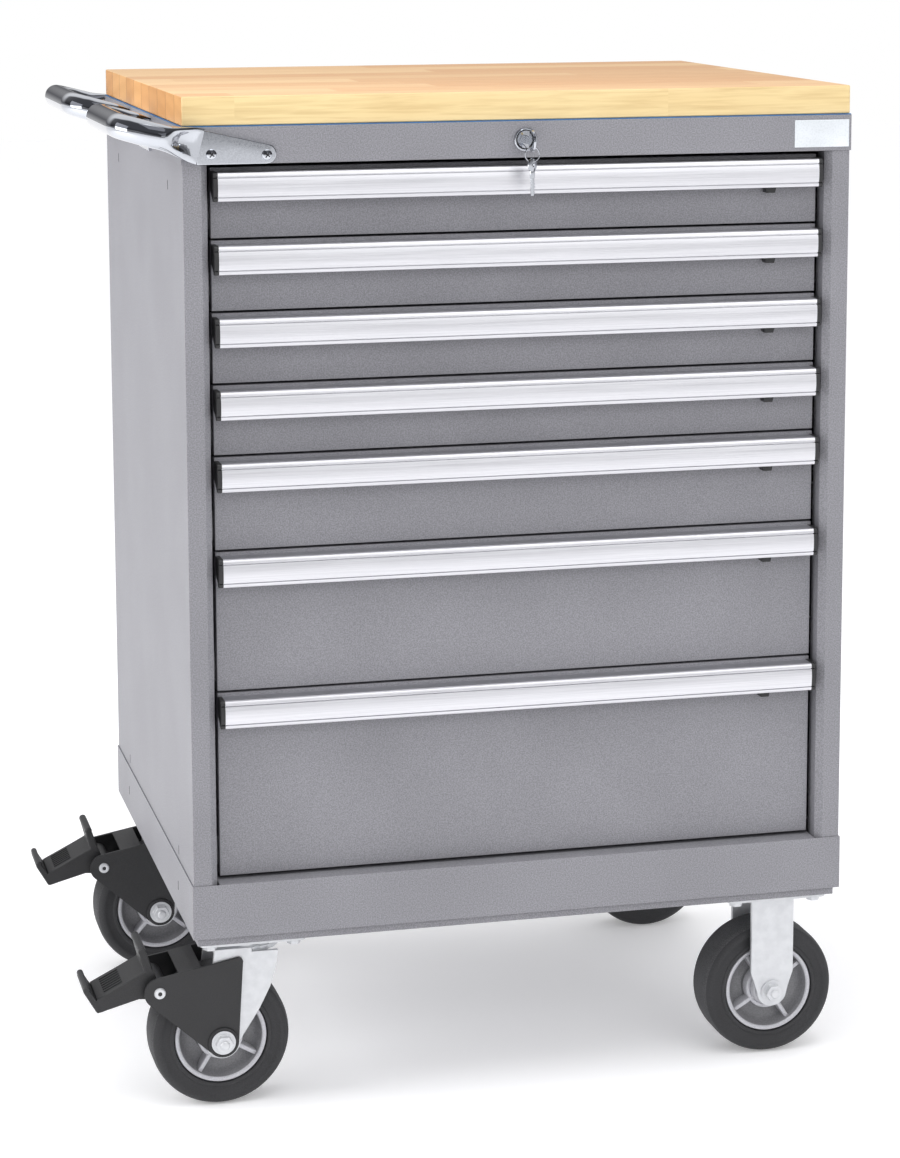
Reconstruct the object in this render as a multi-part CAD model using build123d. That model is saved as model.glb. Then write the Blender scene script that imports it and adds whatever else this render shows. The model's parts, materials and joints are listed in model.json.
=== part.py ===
from build123d import *
import os
from math import cos, radians, sin, tan

# Rolling tool chest: a sheet-steel housing with seven full-width drawers, a butcher-block top,
# a central lock, two push handles and four casters (two swivel with brakes, two rigid).
# Millimetres. +Z up, front towards -Y, swivel casters and push handles on the -X side.
# The model is made about the housing's own centre line and moved once, at the end, so that
# the origin is the bottom centre of the whole object's box.

# ---------------------------------------------------------------- driving dimensions
# housing
width = 717.0                 # housing, side to side
depth = 572.0                 # housing, front to back
sheet = 1.2                   # steel sheet of the housing and the drawers
clearance = 0.2               # between sheets that slip over each other
post_face = 19.0              # front face of each corner post
post_fold = 7.0               # slanted inner fold of the post
post_return = 20.0            # part of the post that runs back beside the drawers
back_flange = 15.0            # fold of the side panel behind the housing
pan_height = 38.0             # grey frame under the worktop
worktop_thickness = 31.0
skirt_height = 58.0
lip_height = 9.0              # recessed edge under the skirt
lip_inset = 4.0
base_floor = 3.0              # plate that the casters are bolted to
threshold = 3.0               # ledge between the skirt and the lowest drawer
skirt_sink = 6.0              # how far the base tray stays below the skirt's top

# drawers, from the lowest one up
drawer_pitches = [200.0, 150.0, 100.0, 75.0, 75.0, 75.0, 75.0]
front_recess = 18.0           # drawer fronts stand behind the posts' faces
front_side_gap = 3.8          # drawer front to post
front_gap_low = 1.0           # drawer front to the pitch line below it
front_gap_high = 1.5          # drawer front to the pitch line above it
front_box = 15.0              # depth of the folded drawer front
drawer_rear_gap = 40.0        # drawer box to the back of the housing, closed
drawer_lift = 6.0             # drawer floor above the pitch line
wall_drop = 22.0              # drawer walls end this far below the pitch line above
travel_left = 10.0            # length of drawer still inside at full extension

# runners: three nested channels a side
rail_width = 24.0             # channel on the drawer wall
rail_height = 16.0
runner_play = 1.5             # between nested channels, up and down
channel = 2.0                 # wall of the channels
carriage_depth = 23.0
runner_reach = 11.0           # overlap of the housing channel over the carriage
runner_height_on_drawer = 24.0

# drawer handles
handle_height = 30.0
handle_depth = 22.0
handle_wall = 2.0
handle_drop = 3.5             # handle below the top of the drawer front
handle_lip = 8.0              # return at the bottom of the handle
handle_crown = 0.8

# drawer latches
latch_width = 14.0
latch_from_edge = 55.0        # latch centre to the drawer front's edge
latch_drop = 6.0              # tab below the handle
latch_travel = 6.0
latch_shank = 3.0
latch_play = 0.5

# lock
lock_ring_radius = 12.2
lock_ring_depth = 3.0
lock_barrel_radius = 9.4
lock_barrel_length = 20.0
cylinder_radius = 6.0
running_fit = 0.06            # radial, shafts that turn in holes
cam_length = 14.0
cam_thickness = 2.0
lock_bar_height = 18.0
lock_bar_thickness = 3.0
lock_bar_travel = 12.0
lock_bar_side = 30.0          # bar's end to the drawer fronts' side line
lock_bar_gap = 0.5            # cam to bar
key_blade = 8.0
key_thickness = 2.2
key_bow = 22.0
key_reach = 14.0              # cylinder face to the bow
ring_radius = 7.6
ring_wire = 1.3
ring_play = 0.6               # radial, wire in the key's hole
ring_over_drawer = 1.5        # hanging ring to the top of the highest drawer front

# push handles
tube_radius = 13.0
loop_overhang = 60.0          # tube's centre line beyond the housing's side
tabs_apart = 20.4            # between the two handles' tabs on the side
loop_bend = 60.0
loop_tilt = 15.0              # degrees, the loop rises outwards
neck_length = 22.0            # side to where the tube is fully round
plate_thickness = 4.0
plate_height = 37.0
plate_length = 68.0
plate_end_radius = 9.0
plate_start = 18.0            # housing's corner to the wide end of the plate
tab_height = 33.0             # wide end of the tab on the side
tab_start = 6.0               # tab's wide end ahead of the leg
tab_screw_gap = 8.0           # tube to the first screw on the side
screw_spacing_side = 40.8     # between the screws on the side
screw_spacing_front = 57.1    # between the screws on the front
screw_rise = 1.5              # first screw above the second
screw_radius = 3.0
screw_head_radius = 5.5
screw_head_height = 3.0
screw_hole_play = 0.2

# casters
wheel_radius = 75.0
caster_head = 40.0            # top of the wheel to the underside of the base
wheel_width = 50.0
rim_radius = 50.0
rim_ring = 5.0
rim_width = 46.0
rim_web = 9.0
hub_radius = 20.0
hub_width = 58.0
rib_count = 4
rib_thickness = 4.0
axle_radius = 6.0
plate_x = 114.0
plate_y = 102.0
caster_plate = 5.0
caster_edge = 12.0            # caster plate to the housing's front or back
caster_side = 8.0             # caster plate to the housing's side
bolt_inset = 12.0
bolt_radius = 4.0
bolt_head_height = 5.5
bolt_head_flats = 13.0
fork_gap = 60.0               # between the legs
leg_thickness = 5.0
leg_width = 49.0              # rigid caster's strap
swivel_lead = 32.0            # wheel's axle behind the swivel axis
race_radius = 33.0
race_height = 4.0
race_gap = 0.6
crown_height = 5.0
kingpin_radius = 7.0
washer_radius = 13.0
washer_height = 2.5
nut_flats = 17.0
nut_height = 8.0
cover_thickness = 3.0
cover_gap = 0.3
cover_tyre_gap = 3.0          # bridge of the cover over the tyre
cover_axle_radius = 17.0      # rounded corners of the cover
cover_pin_radius = 16.5
cover_corner_radius = 5.0
cover_corner_lead = 17.5      # cover's top corner ahead of the axle
pedal_width = 58.0
pedal_pin_radius = 4.0
pedal_pin_gap = 15.0          # tyre to the pedal's pin
pedal_pin_angle = 41.8        # degrees, axle to pin, above the floor
pedal_hub_wall = 7.0
pedal_play = 0.08             # radial, hub on the pin

# ---------------------------------------------------------------- worked out from those
half_w = width / 2
half_d = depth / 2
outer = sheet + clearance                     # pan and skirt stand out by this much
base_z = 2 * wheel_radius + caster_head       # underside of the base
skirt_z = base_z + lip_height
skirt_top = skirt_z + skirt_height
drawers_z = skirt_top + threshold
drawers_top = drawers_z + sum(drawer_pitches)
pan_z = drawers_top + threshold
pan_top = pan_z + pan_height
worktop_top = pan_top + worktop_thickness
opening_half = half_w - post_face - post_fold - sheet
front_half = opening_half - front_side_gap
front_y = -half_d + front_recess              # outer face of the drawer fronts
box_y = front_y + front_box                   # front wall of the drawer boxes
box_end_y = half_d - drawer_rear_gap
carriage_outer = opening_half - channel
carriage_inner = carriage_outer - carriage_depth
box_half = carriage_outer - channel - clearance - rail_width - runner_play
drawer_travel = box_end_y - box_y - travel_left
pitch_lines = [drawers_z + sum(drawer_pitches[:i]) for i in range(len(drawer_pitches))]
plate_z = base_z - caster_plate
caster_y = half_d - caster_edge - plate_y / 2
caster_x = half_w - caster_side - plate_x / 2
axle_z = wheel_radius
tab_length = tube_radius + tab_screw_gap + screw_spacing_side + plate_end_radius
loop_length = half_d - tabs_apart / 2 - tab_length      # front face to the leg on the side
leg_inner = fork_gap / 2
leg_outer = leg_inner + leg_thickness
cover_outer = leg_outer + cover_gap + cover_thickness
nodes = {}


def box(x0, x1, y0, y1, z0, z1):
    """Block between two corners."""
    size = (x1 - x0, y1 - y0, z1 - z0)
    return Pos((x0 + x1) / 2, (y0 + y1) / 2, (z0 + z1) / 2) * Box(*size)


def rod_y(x, z, radius, y0, y1):
    """Round bar along Y."""
    return Pos(x, (y0 + y1) / 2, z) * Rot(X=90) * Cylinder(radius, y1 - y0)


def hex_y(x, z, flats, y0, y1):
    """Hexagonal head or nut along Y."""
    outline = RegularPolygon(flats / 2, 6, major_radius=False)
    return Pos(x, y1, z) * Rot(X=90) * extrude(outline, y1 - y0)


def folded_outline(points, thickness):
    """Outline of folded sheet: the points are its outer side, the sheet lies to their left."""
    path = [Vector(*p) for p in points]
    inner = []
    for i, point in enumerate(path):
        before = (point - path[i - 1]).normalized() if i else None
        after = (path[i + 1] - point).normalized() if i + 1 < len(path) else None
        before = before or after
        after = after or before
        left = (before.rotate(Axis.Z, 90) + after.rotate(Axis.Z, 90)).normalized()
        inner.append(point + left * (thickness / left.dot(after.rotate(Axis.Z, 90))))
    return make_face(Polyline(*path, *reversed(inner), close=True))


def along_x(face, x0, x1):
    """Extrude an outline drawn as (y, z) along X."""
    return Pos(x0, 0, 0) * extrude(Plane.YZ * face, x1 - x0, dir=(1, 0, 0))


def along_y(face, y0, y1):
    """Extrude an outline drawn as (x, z) along Y."""
    return Pos(0, y1, 0) * extrude(Plane.XZ * face, y1 - y0, dir=(0, -1, 0))


def polygon(points):
    return make_face(Polyline(*points, close=True))


def group(shapes):
    """One node of several separate solids."""
    return Compound([solid for shape in shapes for solid in shape.solids()])


def both_sides(solid):
    return [solid, mirror(solid, about=Plane.YZ)]


# ---------------------------------------------------------------- housing
def side_panel():
    """Right side panel: its folds are notched at the bottom, where the base tray goes."""
    post = [
        (half_w - post_face - post_fold, -half_d + post_fold + post_return),
        (half_w - post_face - post_fold, -half_d + post_fold),
        (half_w - post_face, -half_d),
        (half_w, -half_d),
        (half_w, half_d),
        (half_w - back_flange, half_d),
    ]
    bottom = skirt_z + clearance
    top = pan_top - sheet - clearance
    panel = Pos(0, 0, bottom) * extrude(folded_outline(post, sheet), top - bottom)
    x, y = half_w - lip_inset + clearance, half_d - lip_inset + clearance
    return panel - box(-x, x, -y, y, base_z, skirt_top - skirt_sink + clearance)


def back_panel():
    inner_half = half_w - sheet - clearance
    y1 = half_d - sheet
    z1 = pan_top - sheet - clearance
    web = box(-inner_half, inner_half, y1 - sheet, y1, skirt_z + clearance, z1)
    flange = box(-inner_half, inner_half, y1 - back_flange, y1 - sheet, z1 - sheet, z1)
    return web + flange


def screw_places():
    """Centres of the push handle's screws: on the front face (x, z) and the side (y, z)."""
    low = pan_z + plate_end_radius
    last = -half_w + plate_start + plate_length
    front = [(last - screw_spacing_front, low + screw_rise), (last, low)]
    side_first = -half_d + loop_length + tube_radius + tab_screw_gap
    side = [(side_first, low + screw_rise), (side_first + screw_spacing_side, low)]
    return front, side


def top_pan():
    x, y = half_w + outer, half_d + outer
    shell = box(-x, x, -y, y, pan_z, pan_top)
    shell -= box(-x + sheet, x - sheet, -y + sheet, y - sheet, pan_z - 1, pan_top - sheet)
    shell -= rod_y(0, pan_z + pan_height / 2, lock_barrel_radius, -y - 1, -y + sheet + 1)
    front, side = screw_places()
    hole = screw_radius + screw_hole_play
    for sx, sz in front:
        shell -= rod_y(sx, sz, hole, -y - 1, -y + sheet + 1)
        shell -= rod_y(sx, sz, hole, y - sheet - 1, y + 1)
    for sy, sz in side:
        for s in (sy, -sy):
            shell -= Pos(-x, s, sz) * Rot(Y=90) * Cylinder(hole, 4 * sheet)
    return shell


def worktop():
    block = box(-half_w, half_w, -half_d, half_d, pan_top, worktop_top)
    return chamfer(block.edges().filter_by(Axis.Z), 1.0)


def base_skirt():
    x, y = half_w + outer, half_d + outer
    ring = box(-x, x, -y, y, skirt_z, skirt_top)
    ring -= box(-x + sheet, x - sheet, -y + sheet, y - sheet, skirt_z - 1, skirt_top + 1)
    ledge_half = half_w - post_face - post_fold - sheet - clearance
    ledge = box(-ledge_half, ledge_half, -y, box_y, skirt_top - sheet, skirt_top)
    return ring + ledge


def caster_centres():
    return [(sx * caster_x, sy * caster_y) for sx in (-1, 1) for sy in (-1, 1)]


def bolt_centres(cx, cy):
    dx, dy = plate_x / 2 - bolt_inset, plate_y / 2 - bolt_inset
    return [(cx + sx * dx, cy + sy * dy) for sx in (-1, 1) for sy in (-1, 1)]


def base_pan():
    x, y = half_w - lip_inset, half_d - lip_inset
    top = skirt_top - skirt_sink
    tray = box(-x, x, -y, y, base_z, top)
    wall = 2 * sheet
    tray -= box(-x + wall, x - wall, -y + wall, y - wall, base_z + base_floor, top + 1)
    for centre in caster_centres():
        for bx, by in bolt_centres(*centre):
            hole = Cylinder(bolt_radius + screw_hole_play, 4 * base_floor)
            tray -= Pos(bx, by, base_z) * hole
    return tray


nodes["right_side_panel"] = side_panel()
nodes["left_side_panel"] = mirror(nodes["right_side_panel"], about=Plane.YZ)
nodes["back_panel"] = back_panel()
nodes["top_pan"] = top_pan()
nodes["worktop"] = worktop()
nodes["base_skirt"] = base_skirt()
nodes["base_pan"] = base_pan()


# ---------------------------------------------------------------- drawers and runners
def channel_outline(x_web, x_open, half_height, z):
    """C-shaped channel in (x, z): web at x_web, open towards x_open."""
    step = channel if x_open > x_web else -channel
    lo, hi = z - half_height, z + half_height
    return polygon([
        (x_web, lo), (x_open, lo), (x_open, lo + channel), (x_web + step, lo + channel),
        (x_web + step, hi - channel), (x_open, hi - channel), (x_open, hi), (x_web, hi),
    ])


rail_half = rail_height / 2
carriage_half = rail_half + runner_play + channel
runner_half = carriage_half + runner_play + channel
runner_start_y = box_y + runner_play


def runner_z(pitch_line):
    return pitch_line + runner_height_on_drawer


def housing_runners():
    solids = []
    for line in pitch_lines:
        reach = carriage_outer - runner_reach
        outline = channel_outline(half_w - sheet, reach, runner_half, runner_z(line))
        solids += both_sides(along_y(outline, runner_start_y, box_end_y))
    return group(solids)


def carriages(line):
    outline = channel_outline(carriage_outer, carriage_inner, carriage_half, runner_z(line))
    return group(both_sides(along_y(outline, runner_start_y, box_end_y)))


def drawer_front_z(line, pitch):
    return line + front_gap_low, line + pitch - front_gap_high


def handle_z(line, pitch):
    """Bottom and top of the drawer handle."""
    top = drawer_front_z(line, pitch)[1] - handle_drop
    return top - handle_height, top


latch_x = front_half - latch_from_edge


def latch_slot_z(line, pitch):
    return handle_z(line, pitch)[0] + handle_wall + latch_shank / 2


def drawer(line, pitch):
    """Drawer box with its folded front and the rail channels on its walls."""
    z0, z1 = drawer_front_z(line, pitch)
    front = box(-front_half, front_half, front_y, box_y, z0, z1)
    front -= box(-front_half + sheet, front_half - sheet, front_y + sheet, box_y + 1,
                 z0 + sheet, z1 - sheet)
    floor_z, wall_top = line + drawer_lift, line + pitch - wall_drop
    body = box(-box_half, box_half, box_y - sheet, box_end_y, floor_z, wall_top)
    body -= box(-box_half + sheet, box_half - sheet, box_y, box_end_y - sheet,
                floor_z + sheet, wall_top + 1)
    closing = box(-front_half + sheet, front_half - sheet, box_y - sheet, box_y,
                  z0 + sheet, z1 - sheet)
    rail = channel_outline(box_half, box_half + rail_width, rail_half, runner_z(line))
    rails = both_sides(along_y(rail, box_y, box_end_y))
    slot_half = latch_width / 2 - 2.0 + latch_play
    slot_z = latch_slot_z(line, pitch)
    slot = box(latch_x - slot_half - latch_travel, latch_x + slot_half,
               front_y - 1, front_y + sheet + 1,
               slot_z - latch_shank / 2 - latch_play, slot_z + latch_shank / 2 + latch_play)
    return (front + closing + body + rails[0] + rails[1]) - slot


def drawer_handle(line, pitch):
    """Aluminium rail: a flange on the drawer front, a top web and a crowned face."""
    low, high = handle_z(line, pitch)
    face = front_y - handle_depth
    nose = handle_wall + 1.0
    profile = [
        (front_y, low + latch_shank + 2 * handle_wall),
        (front_y, high),
        (face + nose, high),
        (face, high - nose),
        (face - handle_crown, (low + high) / 2),
        (face, low + nose),
        (face + nose, low),
        (face + handle_lip, low),
    ]
    outline = folded_outline([(-y, z) for y, z in profile], -handle_wall)
    solid = along_x(mirror(outline, about=Plane.YZ), -front_half, front_half)
    return solid


def drawer_latch(line, pitch):
    """Thumb tab under the handle with a shank through the drawer front."""
    low = handle_z(line, pitch)[0]
    z = latch_slot_z(line, pitch)
    half, tip = latch_width / 2, latch_width / 2 - 2.5
    y_tab = front_y - handle_depth + handle_lip + 1.0
    tab = polygon([
        (latch_x - half, z + latch_shank / 2), (latch_x + half, z + latch_shank / 2),
        (latch_x + tip, low - latch_drop), (latch_x - tip, low - latch_drop),
    ])
    shank_half = half - 2.0
    shank = box(latch_x - shank_half, latch_x + shank_half, front_y - 2, front_y + 6,
                z - latch_shank / 2, z + latch_shank / 2)
    keeper = box(latch_x - shank_half - 1, latch_x + shank_half + 1,
                 front_y + sheet + latch_play, front_y + sheet + 3, z - 6, z + 6)
    return along_y(tab, y_tab, front_y - latch_play) + shank + keeper


nodes["housing_runners"] = housing_runners()
for number, (line, pitch) in enumerate(zip(pitch_lines, drawer_pitches), start=1):
    name = f"drawer_{number}"
    nodes[name] = drawer(line, pitch)
    nodes[f"{name}_handle"] = drawer_handle(line, pitch)
    nodes[f"{name}_latch"] = drawer_latch(line, pitch)
    nodes[f"{name}_carriages"] = carriages(line)


# ---------------------------------------------------------------- lock
lock_z = pan_z + pan_height / 2
pan_face = -half_d - outer
lock_face = pan_face - lock_ring_depth
barrel_end = pan_face + lock_barrel_length
key_y = lock_face - key_reach - key_bow / 2
ring_hole_y = key_y
ring_low = drawers_top - front_gap_high + ring_over_drawer
ring_hole_z = ring_low + ring_wire / 2 + 2 * ring_radius


def lock_housing():
    ring = rod_y(0, lock_z, lock_ring_radius, lock_face, pan_face)
    ring = chamfer(ring.edges().sort_by(Axis.Y)[0], 0.8)
    barrel = rod_y(0, lock_z, lock_barrel_radius - clearance / 2, pan_face, barrel_end)
    bore = rod_y(0, lock_z, cylinder_radius + running_fit, lock_face - 1, barrel_end + 1)
    return ring + barrel - bore


def lock_cylinder_and_key():
    """Two solids: the cylinder with its cam, and the key standing in it."""
    cam_y = barrel_end + clearance
    plug = rod_y(0, lock_z, cylinder_radius, lock_face - 0.5, cam_y + cam_thickness)
    cam = box(-5, 5, cam_y, cam_y + cam_thickness, lock_z - cam_length, lock_z + 5)
    keyway_half = key_thickness / 2 + clearance / 2
    blade_half = key_blade / 2
    keyway_end = barrel_end - 4
    keyway = box(-keyway_half, keyway_half, lock_face - 1, keyway_end,
                 lock_z - blade_half - clearance / 2, lock_z + blade_half + clearance / 2)
    thin = key_thickness / 2
    blade = box(-thin, thin, key_y, keyway_end - 1, lock_z - blade_half, lock_z + blade_half)
    bow = Pos(0, key_y, lock_z) * Rot(Y=90) * Cylinder(key_bow / 2, key_thickness)
    hole_radius = ring_wire / 2 + ring_play
    hole = Pos(0, ring_hole_y, ring_hole_z) * Rot(Y=90) * Cylinder(hole_radius, 2 * key_thickness)
    return group([plug + cam - keyway, blade + bow - hole])


def key_ring():
    """Split ring that hangs through the hole in the key's bow."""
    centre = Pos(0, ring_hole_y, ring_hole_z - ring_radius)
    return centre * Rot(X=90) * Torus(ring_radius, ring_wire / 2)


def lock_bar():
    """Flat bar behind the pan's face that the cam drives sideways to block the drawers."""
    y0 = barrel_end + clearance + cam_thickness + lock_bar_gap
    half = front_half - lock_bar_side
    z0 = lock_z - lock_bar_height
    bar = box(-half, half, y0, y0 + lock_bar_thickness, z0, z0 + lock_bar_height)
    return bar


nodes["lock_housing"] = lock_housing()
nodes["lock_cylinder_and_key"] = lock_cylinder_and_key()
nodes["key_ring"] = key_ring()
nodes["lock_bar"] = lock_bar()


# ---------------------------------------------------------------- push handles
def push_handle():
    """Front one: a plate on the front face, a tube looped round the corner, a leg on the side."""
    tube_y = pan_face - tube_radius
    side_x = -half_w - outer
    root_x = -half_w + plate_start
    mid_z = pan_z + plate_height / 2
    tilt = radians(loop_tilt)

    def place(x, y):
        """Point on the tilted loop: it rises as it leaves the housing's side."""
        rise = max(0.0, root_x - x) * tan(tilt)
        return Vector(x, y, mid_z + rise)

    out_x = side_x - loop_overhang
    leg_y = -half_d + loop_length
    start = place(side_x - neck_length, tube_y)
    corner_a = place(out_x, tube_y)
    corner_b = place(out_x, leg_y)
    end = place(side_x - neck_length, leg_y)
    bend = min(loop_bend, loop_overhang - neck_length - 2)
    path = FilletPolyline(start, corner_a, corner_b, end, radius=bend)
    tube = sweep(Plane(origin=start, z_dir=path % 0) * Circle(tube_radius), path=path)

    plate = front_plate(root_x)
    flat_y = pan_face - plate_thickness / 2
    flat = Plane(origin=(root_x + 2, flat_y, mid_z), z_dir=(-1, 0, 0), x_dir=(0, 1, 0))
    neck_a = loft([flat * Ellipse(plate_thickness / 2, plate_height / 2),
                   Plane(origin=start, z_dir=path % 0, x_dir=(0, 1, 0)) * Circle(tube_radius)])
    side_flat = Plane(origin=(side_x, leg_y, mid_z + 3), z_dir=(1, 0, 0), x_dir=(0, 1, 0))
    neck_b = loft([Plane(origin=end, z_dir=path % 1, x_dir=(0, 1, 0)) * Circle(tube_radius),
                   side_flat * Ellipse(plate_thickness, plate_height / 2 - 4)])
    tab = side_tab(side_x, leg_y)
    return tube + plate + neck_a + neck_b + tab


def tapered_plate(start, end, low, height):
    """Outline with a straight lower edge, tall at start, round and low at end."""
    r = plate_end_radius
    step = 1 if end > start else -1
    tip = end - step * r
    tall = polygon([(start, low), (end, low), (end, low + 2 * r), (start, low + height)])
    tall -= Pos(end, low + r) * Rectangle(2 * r, 4 * r)
    top_at_tip = low + height + (2 * r - height) * (tip - start) / (end - start)
    end_radius = (top_at_tip - low) / 2
    return tall + Pos(tip, low + end_radius) * Circle(end_radius)


def front_plate(root_x):
    end_x = -half_w + plate_start + plate_length + plate_end_radius
    outline = tapered_plate(root_x, end_x, pan_z, plate_height)
    plate = along_y(outline, pan_face - plate_thickness, pan_face)
    for sx, sz in screw_places()[0]:
        plate -= rod_y(sx, sz, screw_radius + screw_hole_play, pan_face - 10, pan_face + 10)
    return plate


def side_tab(side_x, leg_y):
    start = leg_y - tab_start
    end = screw_places()[1][1][0] + plate_end_radius
    outline = tapered_plate(start, end, pan_z, tab_height)
    tab = along_x(outline, side_x - plate_thickness, side_x)
    for sy, sz in screw_places()[1]:
        tab -= Pos(side_x, sy, sz) * Rot(Y=90) * Cylinder(screw_radius + screw_hole_play, 20)
    return tab


def screw():
    """Pan-head screw along -Z: its head's underside is at z = 0."""
    dome = Cylinder(screw_head_radius, screw_head_height, align=(Align.CENTER, Align.CENTER,
                                                                 Align.MIN))
    dome = fillet(dome.edges().sort_by(Axis.Z)[-1], 0.6 * screw_head_height)
    shank = Cylinder(screw_radius, plate_thickness + sheet,
                     align=(Align.CENTER, Align.CENTER, Align.MAX))
    return dome + shank


def handle_screws():
    front, side = screw_places()
    side_x = -half_w - outer
    solids = []
    for sx, sz in front:
        solids.append(Pos(sx, pan_face - plate_thickness, sz) * Rot(X=90) * screw())
    for sy, sz in side:
        solids.append(Pos(side_x - plate_thickness, sy, sz) * Rot(Y=-90) * screw())
    return group(solids + [mirror(s, about=Plane.XZ) for s in solids])


nodes["front_push_handle"] = push_handle()
nodes["rear_push_handle"] = mirror(nodes["front_push_handle"], about=Plane.XZ)
nodes["handle_screws"] = handle_screws()


# ---------------------------------------------------------------- casters
def mounting_plate(cx, cy):
    plate = box(cx - plate_x / 2, cx + plate_x / 2, cy - plate_y / 2, cy + plate_y / 2,
                plate_z, base_z)
    plate = fillet(plate.edges().filter_by(Axis.Z), 8)
    for bx, by in bolt_centres(cx, cy):
        hole = Cylinder(bolt_radius + screw_hole_play, 4 * caster_plate)
        plate -= Pos(bx, by, plate_z) * hole
    return plate


def axle_bolt(x, y, reach):
    """Axle with a washer and a hexagon at each end; reach is where the washers start."""
    bolt = rod_y(x, axle_z, axle_radius, y - reach - washer_height, y + reach + washer_height)
    for side in (-1, 1):
        a, b = y + side * reach, y + side * (reach + washer_height)
        bolt += rod_y(x, axle_z, washer_radius, min(a, b), max(a, b))
        c = y + side * (reach + washer_height + nut_height)
        bolt += hex_y(x, axle_z, nut_flats, min(b, c), max(b, c))
    return bolt


def strap_leg(x, y0, y1):
    """Rigid caster's leg: a flat strap that narrows to a rounded end at the axle."""
    half = leg_width / 2
    end_r = axle_radius + 11
    straight = polygon([(x - half, axle_z + 22), (x + half, axle_z + 22),
                        (x + half, plate_z), (x - half, plate_z)])
    taper = polygon([(x - half, axle_z + 22), (x + half, axle_z + 22),
                     (x + end_r, axle_z), (x - end_r, axle_z)])
    outline = straight + taper + Pos(x, axle_z) * Circle(end_r)
    outline -= Pos(x, axle_z) * Circle(axle_radius + 2 * clearance)
    return along_y(outline, y0, y1)


def rigid_caster_forks():
    solids = []
    for cy in (-caster_y, caster_y):
        crown = box(caster_x - leg_width / 2, caster_x + leg_width / 2,
                    cy - leg_outer, cy + leg_outer, plate_z - leg_thickness, plate_z)
        fork = mounting_plate(caster_x, cy) + crown
        fork += strap_leg(caster_x, cy - leg_outer, cy - leg_inner)
        fork += strap_leg(caster_x, cy + leg_inner, cy + leg_outer)
        solids += [fork, axle_bolt(caster_x, cy, leg_outer)]
    return group(solids)


swivel_x = -caster_x
swivel_axle_x = swivel_x - swivel_lead
race_z = plate_z - race_height
crown_top = race_z - race_gap
crown_bottom = crown_top - race_height - crown_height


def swivel_caster_plates():
    solids = []
    for cy in (-caster_y, caster_y):
        race = Pos(swivel_x, cy, race_z + race_height / 2) * Cylinder(race_radius - 4, race_height)
        pin_low = crown_bottom - 3
        pin = Pos(swivel_x, cy, (pin_low + plate_z) / 2) * Cylinder(kingpin_radius,
                                                                    plate_z - pin_low)
        solids.append(mounting_plate(swivel_x, cy) + race + pin)
    return group(solids)


def swivel_leg(cy, y0, y1):
    """Pressed leg: broad at the crown, swept back and down to the axle."""
    ax = swivel_axle_x
    eye = axle_radius + 13
    front = swivel_x + race_radius - 4
    outline = polygon([
        (ax - eye, axle_z), (ax - 8, crown_bottom), (front, crown_bottom),
        (front - 2, crown_bottom - 16), (front - 9, crown_bottom - 40),
        (front - 21, crown_bottom - 64), (ax + eye, axle_z),
    ])
    outline += Pos(ax, axle_z) * Circle(eye)
    outline -= Pos(ax, axle_z) * Circle(axle_radius + 2 * clearance)
    return along_y(outline, y0, y1)


def swivel_fork(cy):
    crown = Pos(swivel_x, cy, crown_bottom + crown_height / 2) * Cylinder(leg_outer, crown_height)
    crown += box(swivel_axle_x - 8, swivel_x, cy - leg_outer, cy + leg_outer,
                 crown_bottom, crown_bottom + crown_height)
    crown += Pos(swivel_x, cy, crown_top - race_height / 2) * Cylinder(race_radius, race_height)
    legs = swivel_leg(cy, cy - leg_outer, cy - leg_inner)
    legs += swivel_leg(cy, cy + leg_inner, cy + leg_outer)
    fork = crown + legs
    fork = fork & box(swivel_x - 200, swivel_x + 200, cy - leg_outer, cy + leg_outer, 0, base_z)
    bore = Pos(swivel_x, cy, crown_bottom) * Cylinder(kingpin_radius + running_fit, 60)
    return group([fork - bore, axle_bolt(swivel_axle_x, cy, cover_outer)])


pin_reach = wheel_radius + pedal_pin_gap
pedal_x = swivel_axle_x - pin_reach * cos(radians(pedal_pin_angle))
pedal_z = axle_z + pin_reach * sin(radians(pedal_pin_angle))


def cover_outline():
    """Rounded triangle: axle, pedal pin and the top corner beside the fork."""
    ax = swivel_axle_x
    circles = [
        (ax, axle_z, cover_axle_radius),
        (pedal_x, pedal_z, cover_pin_radius),
        (ax + cover_corner_lead, crown_bottom - 9, cover_corner_radius),
    ]
    edges = [e for x, z, r in circles for e in (Pos(x, z) * Circle(r)).edges()]
    return make_hull(edges)


def brake_cover(cy):
    """Two side cheeks joined over the wheel, with the pin that the pedal turns on."""
    outline = cover_outline() - Pos(swivel_axle_x, axle_z) * Circle(axle_radius + 2 * clearance)
    inner = leg_outer + cover_gap
    cheeks = along_y(outline, cy - cover_outer, cy - inner)
    cheeks += along_y(outline, cy + inner, cy + cover_outer)
    bridge_x0, bridge_x1 = pedal_x + 20, swivel_axle_x - 22
    slab = box(bridge_x0, bridge_x1, cy - cover_outer, cy + cover_outer,
               axle_z + wheel_radius + cover_tyre_gap, crown_bottom)
    slab = slab & along_y(cover_outline(), cy - cover_outer, cy + cover_outer)
    pin = rod_y(pedal_x, pedal_z, pedal_pin_radius, cy - cover_outer - 2, cy + cover_outer + 2)
    return cheeks + slab + pin


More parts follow.
